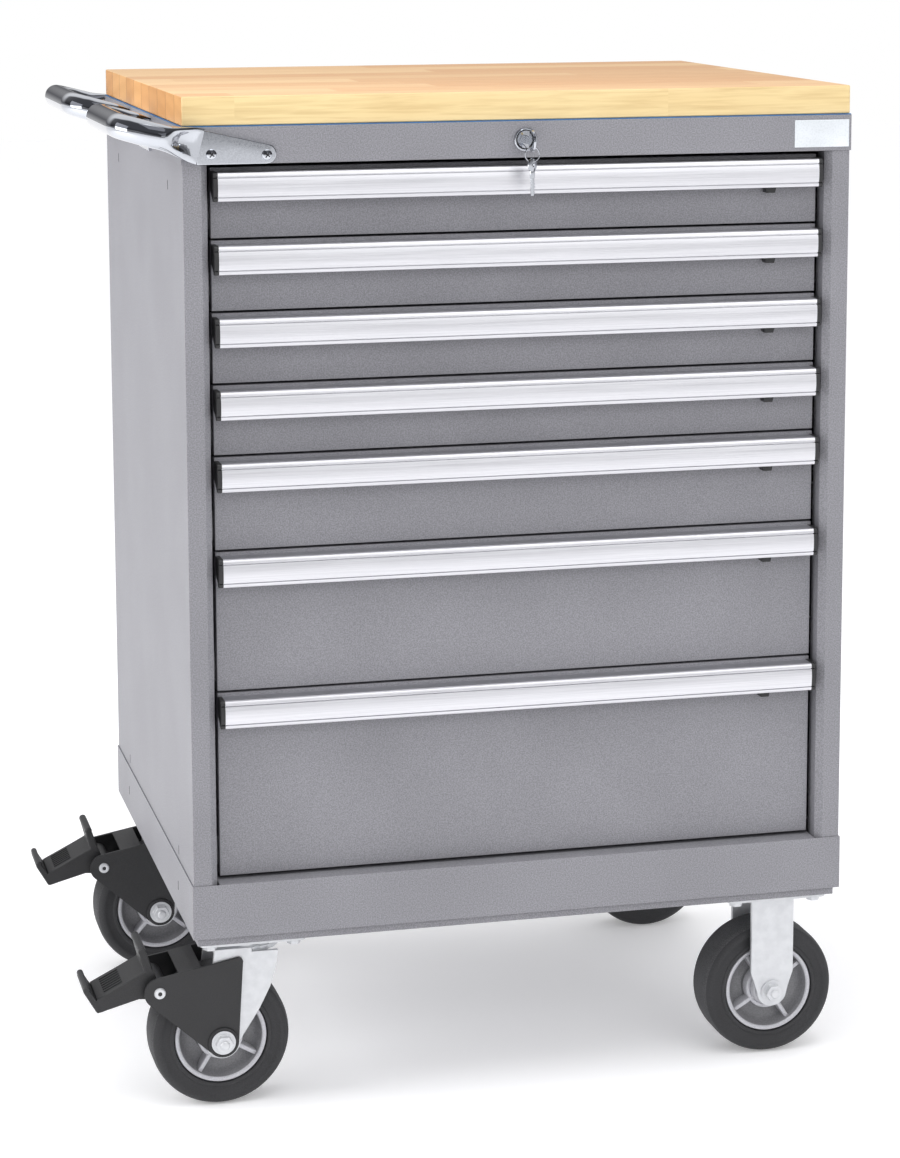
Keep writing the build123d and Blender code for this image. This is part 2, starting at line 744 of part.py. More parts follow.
def brake_pedal(cy):
    """Foot lever: a hub on the pin, a sloping pad, a raised lip and an upright rib."""
    half = pedal_width / 2
    pad = polygon([
        (-64, -19), (-21, -8), (0, -9), (0, 9), (-7, 26), (-34, 12), (-66, -4),
    ])
    lip = polygon([(-66, -19), (-59, -18), (-74, 8), (-80, 5)])
    rib = polygon([(-14, 20), (-6, 24), (-13, 45), (-20, 42)])
    lever = pad + lip + rib + Circle(pedal_pin_radius + pedal_hub_wall)
    lever -= Circle(pedal_pin_radius + pedal_play)
    return along_y(Pos(pedal_x, pedal_z) * lever, cy - half, cy + half)


def wheel_rim(x, y, phase):
    """Cast rim: ring, web, hub and raised ribs on both faces."""
    half = rim_width / 2
    rim = rod_y(x, axle_z, rim_radius, y - half, y + half)
    for side in (-1, 1):
        a, b = y + side * rim_web / 2, y + side * (half + 1)
        rim -= rod_y(x, axle_z, rim_radius - rim_ring, min(a, b), max(a, b))
        c = y + side * (half - 4)
        rib = box(x + hub_radius - 3, x + rim_radius - rim_ring + 1, min(y, c), max(y, c),
                  axle_z - rib_thickness / 2, axle_z + rib_thickness / 2)
        for i in range(rib_count):
            turn = Rot(Y=-(phase + i * 360 / rib_count))
            rim += Pos(x, 0, axle_z) * turn * Pos(-x, 0, -axle_z) * rib
    rim += rod_y(x, axle_z, hub_radius, y - hub_width / 2, y + hub_width / 2)
    return rim - rod_y(x, axle_z, axle_radius + running_fit, y - hub_width, y + hub_width)


def wheel_tyre(x, y):
    half = wheel_width / 2
    tyre = rod_y(x, axle_z, wheel_radius, y - half, y + half)
    tyre = fillet(tyre.edges(), 7)
    return tyre - rod_y(x, axle_z, rim_radius + clearance, y - wheel_width, y + wheel_width)


def caster_bolts():
    """Hexagon bolts from below through every caster plate and the base."""
    outline = RegularPolygon(bolt_head_flats / 2, 6, major_radius=False)
    length = caster_plate + base_floor + 6
    solids = []
    for cx, cy in caster_centres():
        for bx, by in bolt_centres(cx, cy):
            head = Pos(bx, by, plate_z - bolt_head_height) * extrude(outline, bolt_head_height)
            shank = Pos(bx, by, plate_z + length / 2) * Cylinder(bolt_radius, length)
            solids.append(head + shank)
    return group(solids)


nodes["rigid_caster_forks"] = rigid_caster_forks()
nodes["swivel_caster_plates"] = swivel_caster_plates()
nodes["caster_bolts"] = caster_bolts()
wheel_places = {
    "front_left": (swivel_axle_x, -caster_y, 59),
    "rear_left": (swivel_axle_x, caster_y, 50),
    "front_right": (caster_x, -caster_y, 33),
    "rear_right": (caster_x, caster_y, 10),
}
for place, (x, y, phase) in wheel_places.items():
    nodes[f"{place}_rim"] = wheel_rim(x, y, phase)
    nodes[f"{place}_tyre"] = wheel_tyre(x, y)
for place, cy in (("front_left", -caster_y), ("rear_left", caster_y)):
    nodes[f"{place}_fork"] = swivel_fork(cy)
    nodes[f"{place}_brake_cover"] = brake_cover(cy)
    nodes[f"{place}_brake_pedal"] = brake_pedal(cy)


# ---------------------------------------------------------------- place and write
def whole_box():
    boxes = [shape.bounding_box() for shape in nodes.values()]
    low = [min(getattr(b.min, a) for b in boxes) for a in "XYZ"]
    high = [max(getattr(b.max, a) for b in boxes) for a in "XYZ"]
    return low, high


low, high = whole_box()
shift = Vector(-round((low[0] + high[0]) / 2), -round((low[1] + high[1]) / 2), 0)

os.makedirs("parts", exist_ok=True)
for name, shape in nodes.items():
    placed = [Pos(shift) * solid for solid in shape.solids()]
    export_step(placed[0] if len(placed) == 1 else Compound(placed), f"parts/{name}.step")
print(len(nodes), "nodes; box", [round(v, 1) for v in low + high], "moved by", shift)
print("travel of the drawers and the lock bar, mm:", drawer_travel, lock_bar_travel)
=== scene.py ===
# %% [markdown]
# # A rolling tool chest, dressed over its CAD frame
#
# The CAD model gives every part its place and its motion. This lesson adds what a camera wants:
# finishes with real surface detail, and pieces whose shape is finer than the CAD solids. The frame
# is loaded first, and its box is kept; the floor is laid just under it.

# %% Load the frame
import bmesh
import bpy
import json
from math import atan2, copysign, cos, degrees, pi, radians, sin
from mathutils import Matrix, Vector


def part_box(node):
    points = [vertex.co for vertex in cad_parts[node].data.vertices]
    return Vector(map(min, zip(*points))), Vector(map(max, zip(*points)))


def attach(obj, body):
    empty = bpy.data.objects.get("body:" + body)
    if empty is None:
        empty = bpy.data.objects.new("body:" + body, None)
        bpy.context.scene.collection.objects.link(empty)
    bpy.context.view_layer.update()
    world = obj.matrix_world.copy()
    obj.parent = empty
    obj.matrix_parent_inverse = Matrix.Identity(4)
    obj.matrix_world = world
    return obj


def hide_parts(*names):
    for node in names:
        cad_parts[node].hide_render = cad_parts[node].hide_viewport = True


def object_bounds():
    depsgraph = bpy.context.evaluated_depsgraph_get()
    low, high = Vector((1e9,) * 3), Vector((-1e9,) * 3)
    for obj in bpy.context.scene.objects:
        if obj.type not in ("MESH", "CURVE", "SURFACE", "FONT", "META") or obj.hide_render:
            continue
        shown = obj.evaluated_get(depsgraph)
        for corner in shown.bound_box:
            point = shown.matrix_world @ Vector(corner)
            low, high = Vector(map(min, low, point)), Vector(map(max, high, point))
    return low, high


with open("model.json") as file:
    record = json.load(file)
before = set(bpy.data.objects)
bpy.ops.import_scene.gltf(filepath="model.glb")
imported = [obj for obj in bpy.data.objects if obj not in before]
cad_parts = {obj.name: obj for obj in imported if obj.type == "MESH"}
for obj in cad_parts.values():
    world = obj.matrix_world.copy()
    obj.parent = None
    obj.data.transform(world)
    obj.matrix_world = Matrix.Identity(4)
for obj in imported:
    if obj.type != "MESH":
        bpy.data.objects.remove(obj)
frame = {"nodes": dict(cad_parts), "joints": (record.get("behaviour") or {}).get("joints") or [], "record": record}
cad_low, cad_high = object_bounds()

MM = 0.001

# %% [markdown]
# ## Camera
#
# A cabinet in a catalogue is seen from a distance through a long lens, so that its upright edges
# stay nearly parallel. A small downward shift of the lens does the rest, as on a view camera: it
# keeps the camera almost level while the view still reaches the casters.

# %% Place the camera
def add_object(name, data):
    obj = bpy.data.objects.new(name, data)
    bpy.context.scene.collection.objects.link(obj)
    return obj


SENSOR = 36.0

camera_data = bpy.data.cameras.new("catalogue_camera")
camera_data.sensor_width = SENSOR
camera_data.lens = 95.4
camera_data.shift_y = -0.175
camera_data.clip_start = 0.1
camera_data.clip_end = 60.0
camera = add_object("catalogue_camera", camera_data)
turn_right = Matrix.Rotation(radians(-13.905), 4, "Z")
look_down = Matrix.Rotation(radians(90 - 8.587), 4, "X")
level = Matrix.Rotation(radians(-0.18), 4, "Z")
eye = Matrix.Translation((-0.7886, -3.3495, 1.264))
camera.matrix_world = eye @ turn_right @ look_down @ level
bpy.context.scene.camera = camera
bpy.context.scene.view_settings.view_transform = "Standard"
print("camera", camera.location, "lens", camera_data.lens, "mm")

# %% [markdown]
# ## Stage and light
#
# The floor is one pale sheet, large enough to reach the horizon, and it glows a little so that
# no line shows where it meets the sky. The sky is a soft white tent with a dark band near the
# horizon: matt paint hardly notices the band, but chrome needs something dark to mirror, or it
# looks like white plastic. Three large soft lamps shape the cabinet. The strongest stands on the
# left, which is why the side panel is lighter than the front.

# %% Lay the floor and hang the lights
def finish_nodes(name):
    """A new material with its node tree and its Principled shader."""
    material = bpy.data.materials.new(name)
    material.use_nodes = True
    tree = material.node_tree
    return material, tree, tree.nodes["Principled BSDF"]


def set_inputs(node, values):
    """Plain values for the named inputs of a node."""
    for name, value in values.items():
        node.inputs[name].default_value = value


FLOOR_HALF = 14.0
FLOOR_DROP = 0.5 * MM


def make_floor():
    """One pale sheet just under the tyres."""
    material, _, shader = finish_nodes("pale_floor")
    set_inputs(shader, {"Base Color": (0.90, 0.90, 0.91, 1), "Roughness": 0.75,
                        "Emission Color": (1, 1, 1, 1), "Emission Strength": 0.22})
    bm = bmesh.new()
    bmesh.ops.create_grid(bm, x_segments=1, y_segments=1, size=FLOOR_HALF)
    mesh = bpy.data.meshes.new("floor")
    bm.to_mesh(mesh)
    bm.free()
    mesh.materials.append(material)
    floor = add_object("floor", mesh)
    floor.location.z = cad_low.z - FLOOR_DROP


def make_sky():
    """A tent that is white to the camera, and has a dark band near the horizon in mirrors."""
    world = bpy.data.worlds.new("white_tent")
    bpy.context.scene.world = world
    world.use_nodes = True
    nodes, links = world.node_tree.nodes, world.node_tree.links
    background = nodes["Background"]
    coordinates = nodes.new("ShaderNodeTexCoord")
    split = nodes.new("ShaderNodeSeparateXYZ")
    band = nodes.new("ShaderNodeValToRGB")
    band.color_ramp.elements[0].position = 0.46
    band.color_ramp.elements[0].color = (0.50, 0.50, 0.51, 1)
    band.color_ramp.elements[1].position = 0.75
    band.color_ramp.elements[1].color = (0.95, 0.95, 0.96, 1)
    middle = band.color_ramp.elements.new(0.53)
    middle.color = (0.12, 0.12, 0.13, 1)
    lift = nodes.new("ShaderNodeMapRange")
    lift.inputs["From Min"].default_value = -1.0
    links.new(coordinates.outputs["Generated"], split.inputs[0])
    links.new(split.outputs["Z"], lift.inputs["Value"])
    links.new(lift.outputs["Result"], band.inputs["Fac"])
    seen = nodes.new("ShaderNodeLightPath")
    white = nodes.new("ShaderNodeMixRGB")
    white.inputs["Color2"].default_value = (1, 1, 1, 1)
    links.new(seen.outputs["Is Camera Ray"], white.inputs["Fac"])
    links.new(band.outputs["Color"], white.inputs["Color1"])
    links.new(white.outputs["Color"], background.inputs["Color"])
    background.inputs["Strength"].default_value = 1.0


def soft_lamp(name, place, aim, size, power):
    """A large rectangular lamp that looks from its place at its aim."""
    data = bpy.data.lights.new(name, "AREA")
    data.shape = "RECTANGLE"
    data.size, data.size_y = size
    data.energy = power
    lamp = add_object(name, data)
    direction = Vector(aim) - Vector(place)
    facing = direction.to_track_quat("-Z", "Y").to_matrix().to_4x4()
    lamp.matrix_world = Matrix.Translation(place) @ facing


make_floor()
make_sky()
soft_lamp("left_window", (-3.7, -0.1, 1.9), (0, 0, 0.6), (2.4, 2.6), 88)
soft_lamp("front_panel", (1.5, -4.0, 2.4), (0, 0, 0.5), (3.0, 2.0), 36)
soft_lamp("overhead", (0.2, -1.1, 3.8), (0, 0, 0.5), (2.0, 2.0), 36)

# %% [markdown]
# ## Finishes: how each surface gets its detail
#
# A finish is a small node tree on Object coordinates, so a pattern has a real size in metres and
# stays put when a piece moves. Two helpers carry most of it. One makes a noise of a given grain
# size, stretched along an axis if the real surface was brushed or grown that way. The other turns
# a value into bump. Numbers that are the same all over a surface sit on the shader itself.

# %% Helpers for node trees
def grain(tree, size, detail=3.0, stretch=(1, 1, 1), roughness=0.5):
    """Noise whose lumps are about size metres across, in Object coordinates."""
    coordinates = tree.nodes.new("ShaderNodeTexCoord")
    mapping = tree.nodes.new("ShaderNodeMapping")
    mapping.inputs["Scale"].default_value = [1 / s for s in stretch]
    noise = tree.nodes.new("ShaderNodeTexNoise")
    set_inputs(noise, {"Scale": 1 / size, "Detail": detail, "Roughness": roughness})
    tree.links.new(coordinates.outputs["Object"], mapping.inputs["Vector"])
    tree.links.new(mapping.outputs["Vector"], noise.inputs["Vector"])
    return noise.outputs["Fac"]


def tone(tree, value, dark, light, low=0.35, high=0.65):
    """A colour between two, chosen by a value."""
    ramp = tree.nodes.new("ShaderNodeValToRGB")
    ramp.color_ramp.elements[0].position = low
    ramp.color_ramp.elements[0].color = (*dark, 1)
    ramp.color_ramp.elements[1].position = high
    ramp.color_ramp.elements[1].color = (*light, 1)
    tree.links.new(value, ramp.inputs["Fac"])
    return ramp.outputs["Color"]


def between(tree, value, low, high):
    """A plain number between two, chosen by a value from 0.3 to 0.7."""
    spread = tree.nodes.new("ShaderNodeMapRange")
    set_inputs(spread, {"From Min": 0.3, "From Max": 0.7, "To Min": low, "To Max": high})
    tree.links.new(value, spread.inputs["Value"])
    return spread.outputs["Result"]


def blend_colours(tree, share, first, second, how="MIX"):
    """Two colours mixed; share is a plain number or the output of a node."""
    mix = tree.nodes.new("ShaderNodeMixRGB")
    mix.blend_type = how
    if isinstance(share, float):
        mix.inputs["Fac"].default_value = share
    else:
        tree.links.new(share, mix.inputs["Fac"])
    tree.links.new(first, mix.inputs["Color1"])
    tree.links.new(second, mix.inputs["Color2"])
    return mix.outputs["Color"]


def add_bump(tree, shader, value, height, strength=1.0):
    """Relief in the shader's normal, height metres deep where value is 1."""
    bump = tree.nodes.new("ShaderNodeBump")
    set_inputs(bump, {"Distance": height, "Strength": strength})
    tree.links.new(value, bump.inputs["Height"])
    tree.links.new(bump.outputs["Normal"], shader.inputs["Normal"])


finishes = {}
print("node helpers ready")

# %% [markdown]
# ## Grey powder coat
#
# Powder coat is dust melted into a skin. Close up it has a fine orange-peel texture and tiny
# lighter and darker specks; from a few steps away it is an even mid grey with a soft sheen. Two
# noises give that: one little more than a millimetre across for specks and bump, and one as wide
# as a hand so that a large sheet is not perfectly even.

# %% Make the powder coat
def powder_coat(name, colour, spread):
    """Fine orange-peel paint, speckled by spread either side of its colour."""
    material, tree, shader = finish_nodes(name)
    specks = grain(tree, 0.0014, detail=4.0, roughness=0.75)
    clouds = grain(tree, 0.12, detail=2.0)
    dark = [c * (1 - spread) for c in colour]
    light = [c * (1 + spread) for c in colour]
    fine = tone(tree, specks, dark, light, 0.42, 0.58)
    broad = tone(tree, clouds, (0.93, 0.93, 0.93), (1.0, 1.0, 1.0))
    tree.links.new(blend_colours(tree, 1.0, fine, broad, "MULTIPLY"), shader.inputs["Base Color"])
    tree.links.new(between(tree, specks, 0.42, 0.58), shader.inputs["Roughness"])
    shader.inputs["Specular IOR Level"].default_value = 0.35
    add_bump(tree, shader, specks, 0.00008, 0.6)
    return material


finishes["housing_paint"] = powder_coat("grey_powder_coat", (0.262, 0.260, 0.282), 0.2)
print("powder coat", finishes["housing_paint"].name)

# %% [markdown]
# ## Butcher block
#
# A butcher block is glued from staves of maple that run side to side, so three kinds of face
# show. On top each stave is a stripe with its own tone and long grain. The front is the face of
# one stave, paler and calmer. The ends show end grain: darker blocks with faint growth rings.
# The same nodes number the staves in all three, and the number is the seed for tone and grain.

# %% Make the wood
STAVE = 0.058
STAVE_LENGTH = 0.46


def math_node(tree, how, first, second=None, clamp=False):
    """One step of arithmetic; each value is a plain number or the output of a node."""
    node = tree.nodes.new("ShaderNodeMath")
    node.operation = how
    node.use_clamp = clamp
    for socket, value in zip(node.inputs, (first, second)):
        if value is None:
            continue
        if isinstance(value, (int, float)):
            socket.default_value = value
        else:
            tree.links.new(value, socket)
    return node.outputs["Value"]


def stave_numbers(tree):
    """Object coordinates, a random number for each stave and each length in it, and the place across."""
    coordinates = tree.nodes.new("ShaderNodeTexCoord")
    split = tree.nodes.new("ShaderNodeSeparateXYZ")
    tree.links.new(coordinates.outputs["Object"], split.inputs[0])
    across = math_node(tree, "DIVIDE", split.outputs["Y"], STAVE)
    index = math_node(tree, "FLOOR", across)
    first = tree.nodes.new("ShaderNodeTexWhiteNoise")
    first.noise_dimensions = "1D"
    tree.links.new(index, first.inputs["W"])
    along = math_node(tree, "DIVIDE", split.outputs["X"], STAVE_LENGTH)
    along = math_node(tree, "ADD", along, first.outputs["Value"])
    piece_index = math_node(tree, "FLOOR", along)
    seed = math_node(tree, "ADD", math_node(tree, "MULTIPLY", piece_index, 17.3), index)
    second = tree.nodes.new("ShaderNodeTexWhiteNoise")
    second.noise_dimensions = "1D"
    tree.links.new(seed, second.inputs["W"])
    place = math_node(tree, "FRACT", across)
    return coordinates, first.outputs["Value"], second.outputs["Value"], place


def seam(tree, place, width):
    """1 on the glue line at either edge of a stave, 0 elsewhere."""
    middle = math_node(tree, "SUBTRACT", place, 0.5)
    edge = math_node(tree, "ABSOLUTE", middle)
    return math_node(tree, "GREATER_THAN", edge, 0.5 - width)


def long_grain(name, pale, deep, stave_share):
    """Wood along the fibres; stave_share says how much the staves differ from each other."""
    material, tree, shader = finish_nodes(name)
    coordinates, _, second, across = stave_numbers(tree)
    shift = tree.nodes.new("ShaderNodeCombineXYZ")
    tree.links.new(math_node(tree, "MULTIPLY", second, 3.0), shift.inputs["Z"])
    moved = tree.nodes.new("ShaderNodeVectorMath")
    tree.links.new(coordinates.outputs["Object"], moved.inputs[0])
    tree.links.new(shift.outputs[0], moved.inputs[1])
    mapping = tree.nodes.new("ShaderNodeMapping")
    mapping.inputs["Scale"].default_value = (0.055, 1.0, 1.0)
    fibres = tree.nodes.new("ShaderNodeTexNoise")
    set_inputs(fibres, {"Scale": 260, "Detail": 6.0, "Distortion": 0.4})
    tree.links.new(moved.outputs[0], mapping.inputs["Vector"])
    tree.links.new(mapping.outputs["Vector"], fibres.inputs["Vector"])
    figure = grain(tree, 0.05, detail=2.0, stretch=(4, 1, 1))
    board = tone(tree, second, deep, pale, 0.0, 1.0)
    plain = tone(tree, figure, [(a + b) / 2 for a, b in zip(pale, deep)], pale, 0.3, 0.7)
    base = blend_colours(tree, stave_share, plain, board)
    streaks = tone(tree, fibres.outputs["Fac"], (0.80, 0.74, 0.66), (1.0, 1.0, 1.0), 0.3, 0.58)
    wood = blend_colours(tree, 0.75, base, streaks, "MULTIPLY")
    glue = tone(tree, seam(tree, across, 0.012), (1, 1, 1), (0.66, 0.55, 0.44), 0.1, 0.9)
    wood = blend_colours(tree, stave_share, wood, glue, "MULTIPLY")
    tree.links.new(wood, shader.inputs["Base Color"])
    tree.links.new(between(tree, fibres.outputs["Fac"], 0.42, 0.32), shader.inputs["Roughness"])
    set_inputs(shader, {"Coat Weight": 0.12, "Coat Roughness": 0.25})
    add_bump(tree, shader, fibres.outputs["Fac"], 0.00012, 0.5)
    return material


def end_grain(name, pale, deep):
    """Wood across the fibres: a tone for each stave, faint growth rings and open pores."""
    material, tree, shader = finish_nodes(name)
    coordinates, first, _, across = stave_numbers(tree)
    centre = tree.nodes.new("ShaderNodeCombineXYZ")
    tree.links.new(math_node(tree, "MULTIPLY", first, 0.21), centre.inputs["Z"])
    tree.links.new(math_node(tree, "MULTIPLY", first, 0.09), centre.inputs["Y"])
    moved = tree.nodes.new("ShaderNodeVectorMath")
    tree.links.new(coordinates.outputs["Object"], moved.inputs[0])
    tree.links.new(centre.outputs[0], moved.inputs[1])
    rings = tree.nodes.new("ShaderNodeTexWave")
    rings.wave_type = "RINGS"
    rings.rings_direction = "X"
    set_inputs(rings, {"Scale": 16, "Distortion": 1.2, "Detail": 2.0, "Detail Scale": 2.0})
    tree.links.new(moved.outputs[0], rings.inputs["Vector"])
    pores = grain(tree, 0.0009, detail=3.0)
    staves = tone(tree, first, deep, pale, 0.0, 1.0)
    ringed = tone(tree, rings.outputs["Fac"], (0.72, 0.62, 0.52), (1, 1, 1), 0.1, 0.9)
    wood = blend_colours(tree, 0.22, staves, ringed, "MULTIPLY")
    dotted = tone(tree, pores, (0.7, 0.62, 0.55), (1, 1, 1), 0.3, 0.5)
    wood = blend_colours(tree, 0.35, wood, dotted, "MULTIPLY")
    glue = tone(tree, seam(tree, across, 0.016), (1, 1, 1), (0.5, 0.38, 0.28), 0.1, 0.9)
    wood = blend_colours(tree, 1.0, wood, glue, "MULTIPLY")
    tree.links.new(wood, shader.inputs["Base Color"])
    shader.inputs["Roughness"].default_value = 0.5
    add_bump(tree, shader, pores, 0.0001, 0.5)
    return material


finishes["wood_top"] = long_grain("maple_top", (0.90, 0.61, 0.31), (0.74, 0.40, 0.17), 0.8)
finishes["wood_front"] = long_grain("maple_face", (0.84, 0.67, 0.35), (0.74, 0.53, 0.25), 0.2)
finishes["wood_end"] = end_grain("maple_end_grain", (0.76, 0.42, 0.16), (0.64, 0.32, 0.11))
print("wood finishes", [n for n in finishes if n.startswith("wood")])

# %% [markdown]
# ## Bare metals
#
# Five metals sit side by side on this chest, and what tells them apart is mostly roughness and
# the direction of their marks. The drawer handles are drawn aluminium, with long faint lines and
# a satin sheen. Chrome is nearly a mirror, and in a studio it would look black wherever it faces
# the dark room in front; here that reflection is painted into its colour, which follows the way the
# surface faces. The caster forks are bright zinc, smooth and a little cloudy. The runners are the
# same zinc, greyer with handling. The rims are cast, so they are dull and slightly pitted, and their
# webs are painted darker as shade.

# %% Make the metals
def metal(name, dark, light, size, stretch, smooth, rough, bump, metallic=1.0):
    """Metal whose marks are size metres wide and longer along an axis by stretch."""
    material, tree, shader = finish_nodes(name)
    marks = grain(tree, size, detail=4.0, stretch=stretch)
    tree.links.new(tone(tree, marks, dark, light), shader.inputs["Base Color"])
    tree.links.new(between(tree, marks, smooth, rough), shader.inputs["Roughness"])
    shader.inputs["Metallic"].default_value = metallic
    add_bump(tree, shader, marks, bump, 0.5)
    return material


even = (1, 1, 1)
finishes["handle_aluminium"] = metal(
    "drawn_aluminium", (0.64, 0.64, 0.67), (0.74, 0.74, 0.77), 0.0007, (160, 1, 1), 0.34, 0.44, 0.00001)


def painted_reflection_chrome(name):
    """Chrome with a painted reflection of a dark studio: black where it looks forward and a little upward."""
    material, tree, shader = finish_nodes(name)
    coordinates = tree.nodes.new("ShaderNodeTexCoord")
    split = tree.nodes.new("ShaderNodeSeparateXYZ")
    tree.links.new(coordinates.outputs["Normal"], split.inputs[0])
    ripple = math_node(tree, "MULTIPLY", grain(tree, 0.025, detail=1.0), 0.3)
    height = math_node(tree, "SUBTRACT", math_node(tree, "ADD", split.outputs["Z"], ripple), 0.15)
    above = math_node(tree, "MULTIPLY", math_node(tree, "SUBTRACT", height, 0.05), 8, clamp=True)
    below = math_node(tree, "MULTIPLY", math_node(tree, "SUBTRACT", 0.84, height), 8, clamp=True)
    ahead = math_node(tree, "MULTIPLY", math_node(tree, "SUBTRACT", -0.2, split.outputs["Y"]), 5, clamp=True)
    share = math_node(tree, "MULTIPLY", math_node(tree, "MULTIPLY", above, below), ahead)
    # Painted reflection: the base colour turns near-black where the normal faces forward and a little upward,
    # standing in for the dark room that real chrome would mirror.
    tree.links.new(tone(tree, share, (0.56, 0.58, 0.62), (0.035, 0.037, 0.045), 0.2, 0.8),
                   shader.inputs["Base Color"])
    tree.links.new(between(tree, grain(tree, 0.002), 0.04, 0.1), shader.inputs["Roughness"])
    set_inputs(shader, {"Metallic": 1.0, "Coat Weight": 0.35, "Coat Roughness": 0.04})
    return material


finishes["chrome"] = painted_reflection_chrome("chrome_painted_reflection")
finishes["zinc_plate"] = metal(
    "bright_zinc", (0.60, 0.61, 0.63), (0.68, 0.69, 0.71), 0.012, even, 0.34, 0.46, 0.00002, 0.45)
finishes["runner_steel"] = metal(
    "runner_steel", (0.42, 0.43, 0.45), (0.56, 0.57, 0.59), 0.0012, (30, 30, 1), 0.32, 0.5, 0.00003)
finishes["rim_grey"] = metal(
    "cast_rim", (0.47, 0.47, 0.50), (0.57, 0.57, 0.60), 0.0016, even, 0.42, 0.6, 0.00012, 0.25)
# Painted shade: the dished web of each rim takes this darker copy of the rim metal, for the shade it lies in.
finishes["rim_web"] = metal(
    "rim_web_painted_shade", (0.20, 0.20, 0.21), (0.27, 0.27, 0.28), 0.0016, even, 0.5, 0.65, 0.00012, 0.2)
print("metals", len(finishes))

# %% [markdown]
# ## Plastics and rubber
#
# The brake covers, pedals, latch tabs and end caps are black nylon with a fine spark-eroded grain
# from the mould. The tyres are grey-black rubber: smooth on the side wall, and lighter and
# scuffed on the tread, where they have rolled. The sheet under the worktop is satin blue plastic.

# %% Make the plastics and the rubber
def moulded(name, dark, light, size, smooth, rough, bump):
    """Plastic or rubber with the grain of its mould, size metres across."""
    material, tree, shader = finish_nodes(name)
    texture = grain(tree, size, detail=3.0)
    wide = grain(tree, 0.05, detail=2.0)
    fine = tone(tree, texture, dark, light, 0.4, 0.6)
    shade = tone(tree, wide, (0.85, 0.85, 0.85), (1, 1, 1))
    tree.links.new(blend_colours(tree, 1.0, fine, shade, "MULTIPLY"), shader.inputs["Base Color"])
    tree.links.new(between(tree, texture, smooth, rough), shader.inputs["Roughness"])
    add_bump(tree, shader, texture, bump, 0.7)
    return material


finishes["black_plastic"] = moulded(
    "grained_black_nylon", (0.012, 0.012, 0.013), (0.024, 0.024, 0.026), 0.0008, 0.42, 0.6, 0.00009)
finishes["tyre_rubber"] = moulded(
    "tyre_side_wall", (0.020, 0.020, 0.022), (0.034, 0.034, 0.037), 0.0014, 0.55, 0.75, 0.00007)
finishes["tyre_tread"] = moulded(
    "scuffed_tread", (0.045, 0.045, 0.048), (0.090, 0.090, 0.094), 0.0011, 0.75, 0.92, 0.00014)
finishes["blue_seal"] = moulded(
    "blue_seal", (0.015, 0.13, 0.36), (0.02, 0.17, 0.44), 0.002, 0.35, 0.45, 0.00004)
finishes["badge_plate"] = moulded(
    "pale_badge", (0.80, 0.84, 0.88), (0.82, 0.86, 0.90), 0.002, 0.25, 0.32, 0.000004)
# Painted shade: near-black for the slots, the screw crosses and the lock groove, where real recesses would lie in
# shade.
finishes["dark_gap"] = moulded(
    "recess_painted_shade", (0.006, 0.006, 0.007), (0.010, 0.010, 0.011), 0.001, 0.8, 0.9, 0.00002)
print("finishes made", sorted(finishes))

# %% [markdown]
# ## Give every CAD node its finish
#
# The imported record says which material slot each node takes. Walking that list means that no node
# can be forgotten, and a node that a finer piece replaces later simply isn't shown.

# %% Paint the CAD nodes
slots = {part["node"]: part["material_slot"] for part in frame["record"]["subparts"]}
slot_finish = dict(finishes, worktop_wood=finishes["wood_top"])
for node, obj in frame["nodes"].items():
    obj.data.materials.clear()
    obj.data.materials.append(slot_finish[slots[node]])
print("painted", len(slots), "nodes in", len(set(slots.values())), "finishes")

# %% [markdown]
# ## From a bmesh to a piece
#
# Each new piece ends the same way: doubles merged, normals turned outwards, edges sharper than an
# angle kept crisp, finishes appended, the object attached to the body it rides on, and the CAD node
# that it replaces hidden. Where small bevels meet large flats, weighted normals keep the flats
# evenly shaded.

# %% Helpers for pieces
MERGE = 0.001 * MM


def piece(name, bm, looks, body, node=None, crisp=35, even_flats=False):
    """Turn bm into an object with its finishes, attach it to its body, and hide the CAD node it replaces."""
    bmesh.ops.remove_doubles(bm, verts=bm.verts, dist=MERGE)
    bmesh.ops.recalc_face_normals(bm, faces=bm.faces)
    mesh = bpy.data.meshes.new(name)
    bm.to_mesh(mesh)
    bm.free()
    for look in looks:
        mesh.materials.append(finishes[look])
    mesh.polygons.foreach_set("use_smooth", [True] * len(mesh.polygons))
    mesh.set_sharp_from_angle(angle=radians(crisp))
    obj = add_object(name, mesh)
    if even_flats:
        shading = obj.modifiers.new("even_flats", "WEIGHTED_NORMAL")
        shading.keep_sharp = True
    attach(obj, body)
    if node:
        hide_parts(node)
    return obj


def body_of(node):
    return next(b for b, members in frame["record"]["behaviour"]["bodies"].items() if node in members)


def joint_place(name):
    return Vector(next(joint["pos_m"] for joint in frame["joints"] if joint["name"] == name))


def turn_new(bm, before, turn, axis, offset=(0, 0, 0)):
    """Turn the vertices that are not in before, in degrees round an axis, then move them."""
    verts = [v for v in bm.verts if v not in before]
    bmesh.ops.rotate(bm, verts=verts, cent=(0, 0, 0), matrix=Matrix.Rotation(radians(turn), 3, axis))
    bmesh.ops.translate(bm, verts=verts, vec=offset)


def round_edges(bm, edges, radius, segments=2, clamp=True):
    bmesh.ops.bevel(bm, geom=edges, offset=radius, segments=segments, profile=0.5,
                    affect="EDGES", clamp_overlap=clamp, material=-1)


def block(bm, low, high, rounding=0.0, segments=2):
    """A bar between two corners with rounded edges, added to bm."""
    low, high = Vector(low), Vector(high)
    size = Matrix.Diagonal((*(high - low), 1))
    made = bmesh.ops.create_cube(bm, size=1.0, matrix=Matrix.Translation((low + high) / 2) @ size)
    if rounding:
        round_edges(bm, list({e for v in made["verts"] for e in v.link_edges}), rounding, segments)


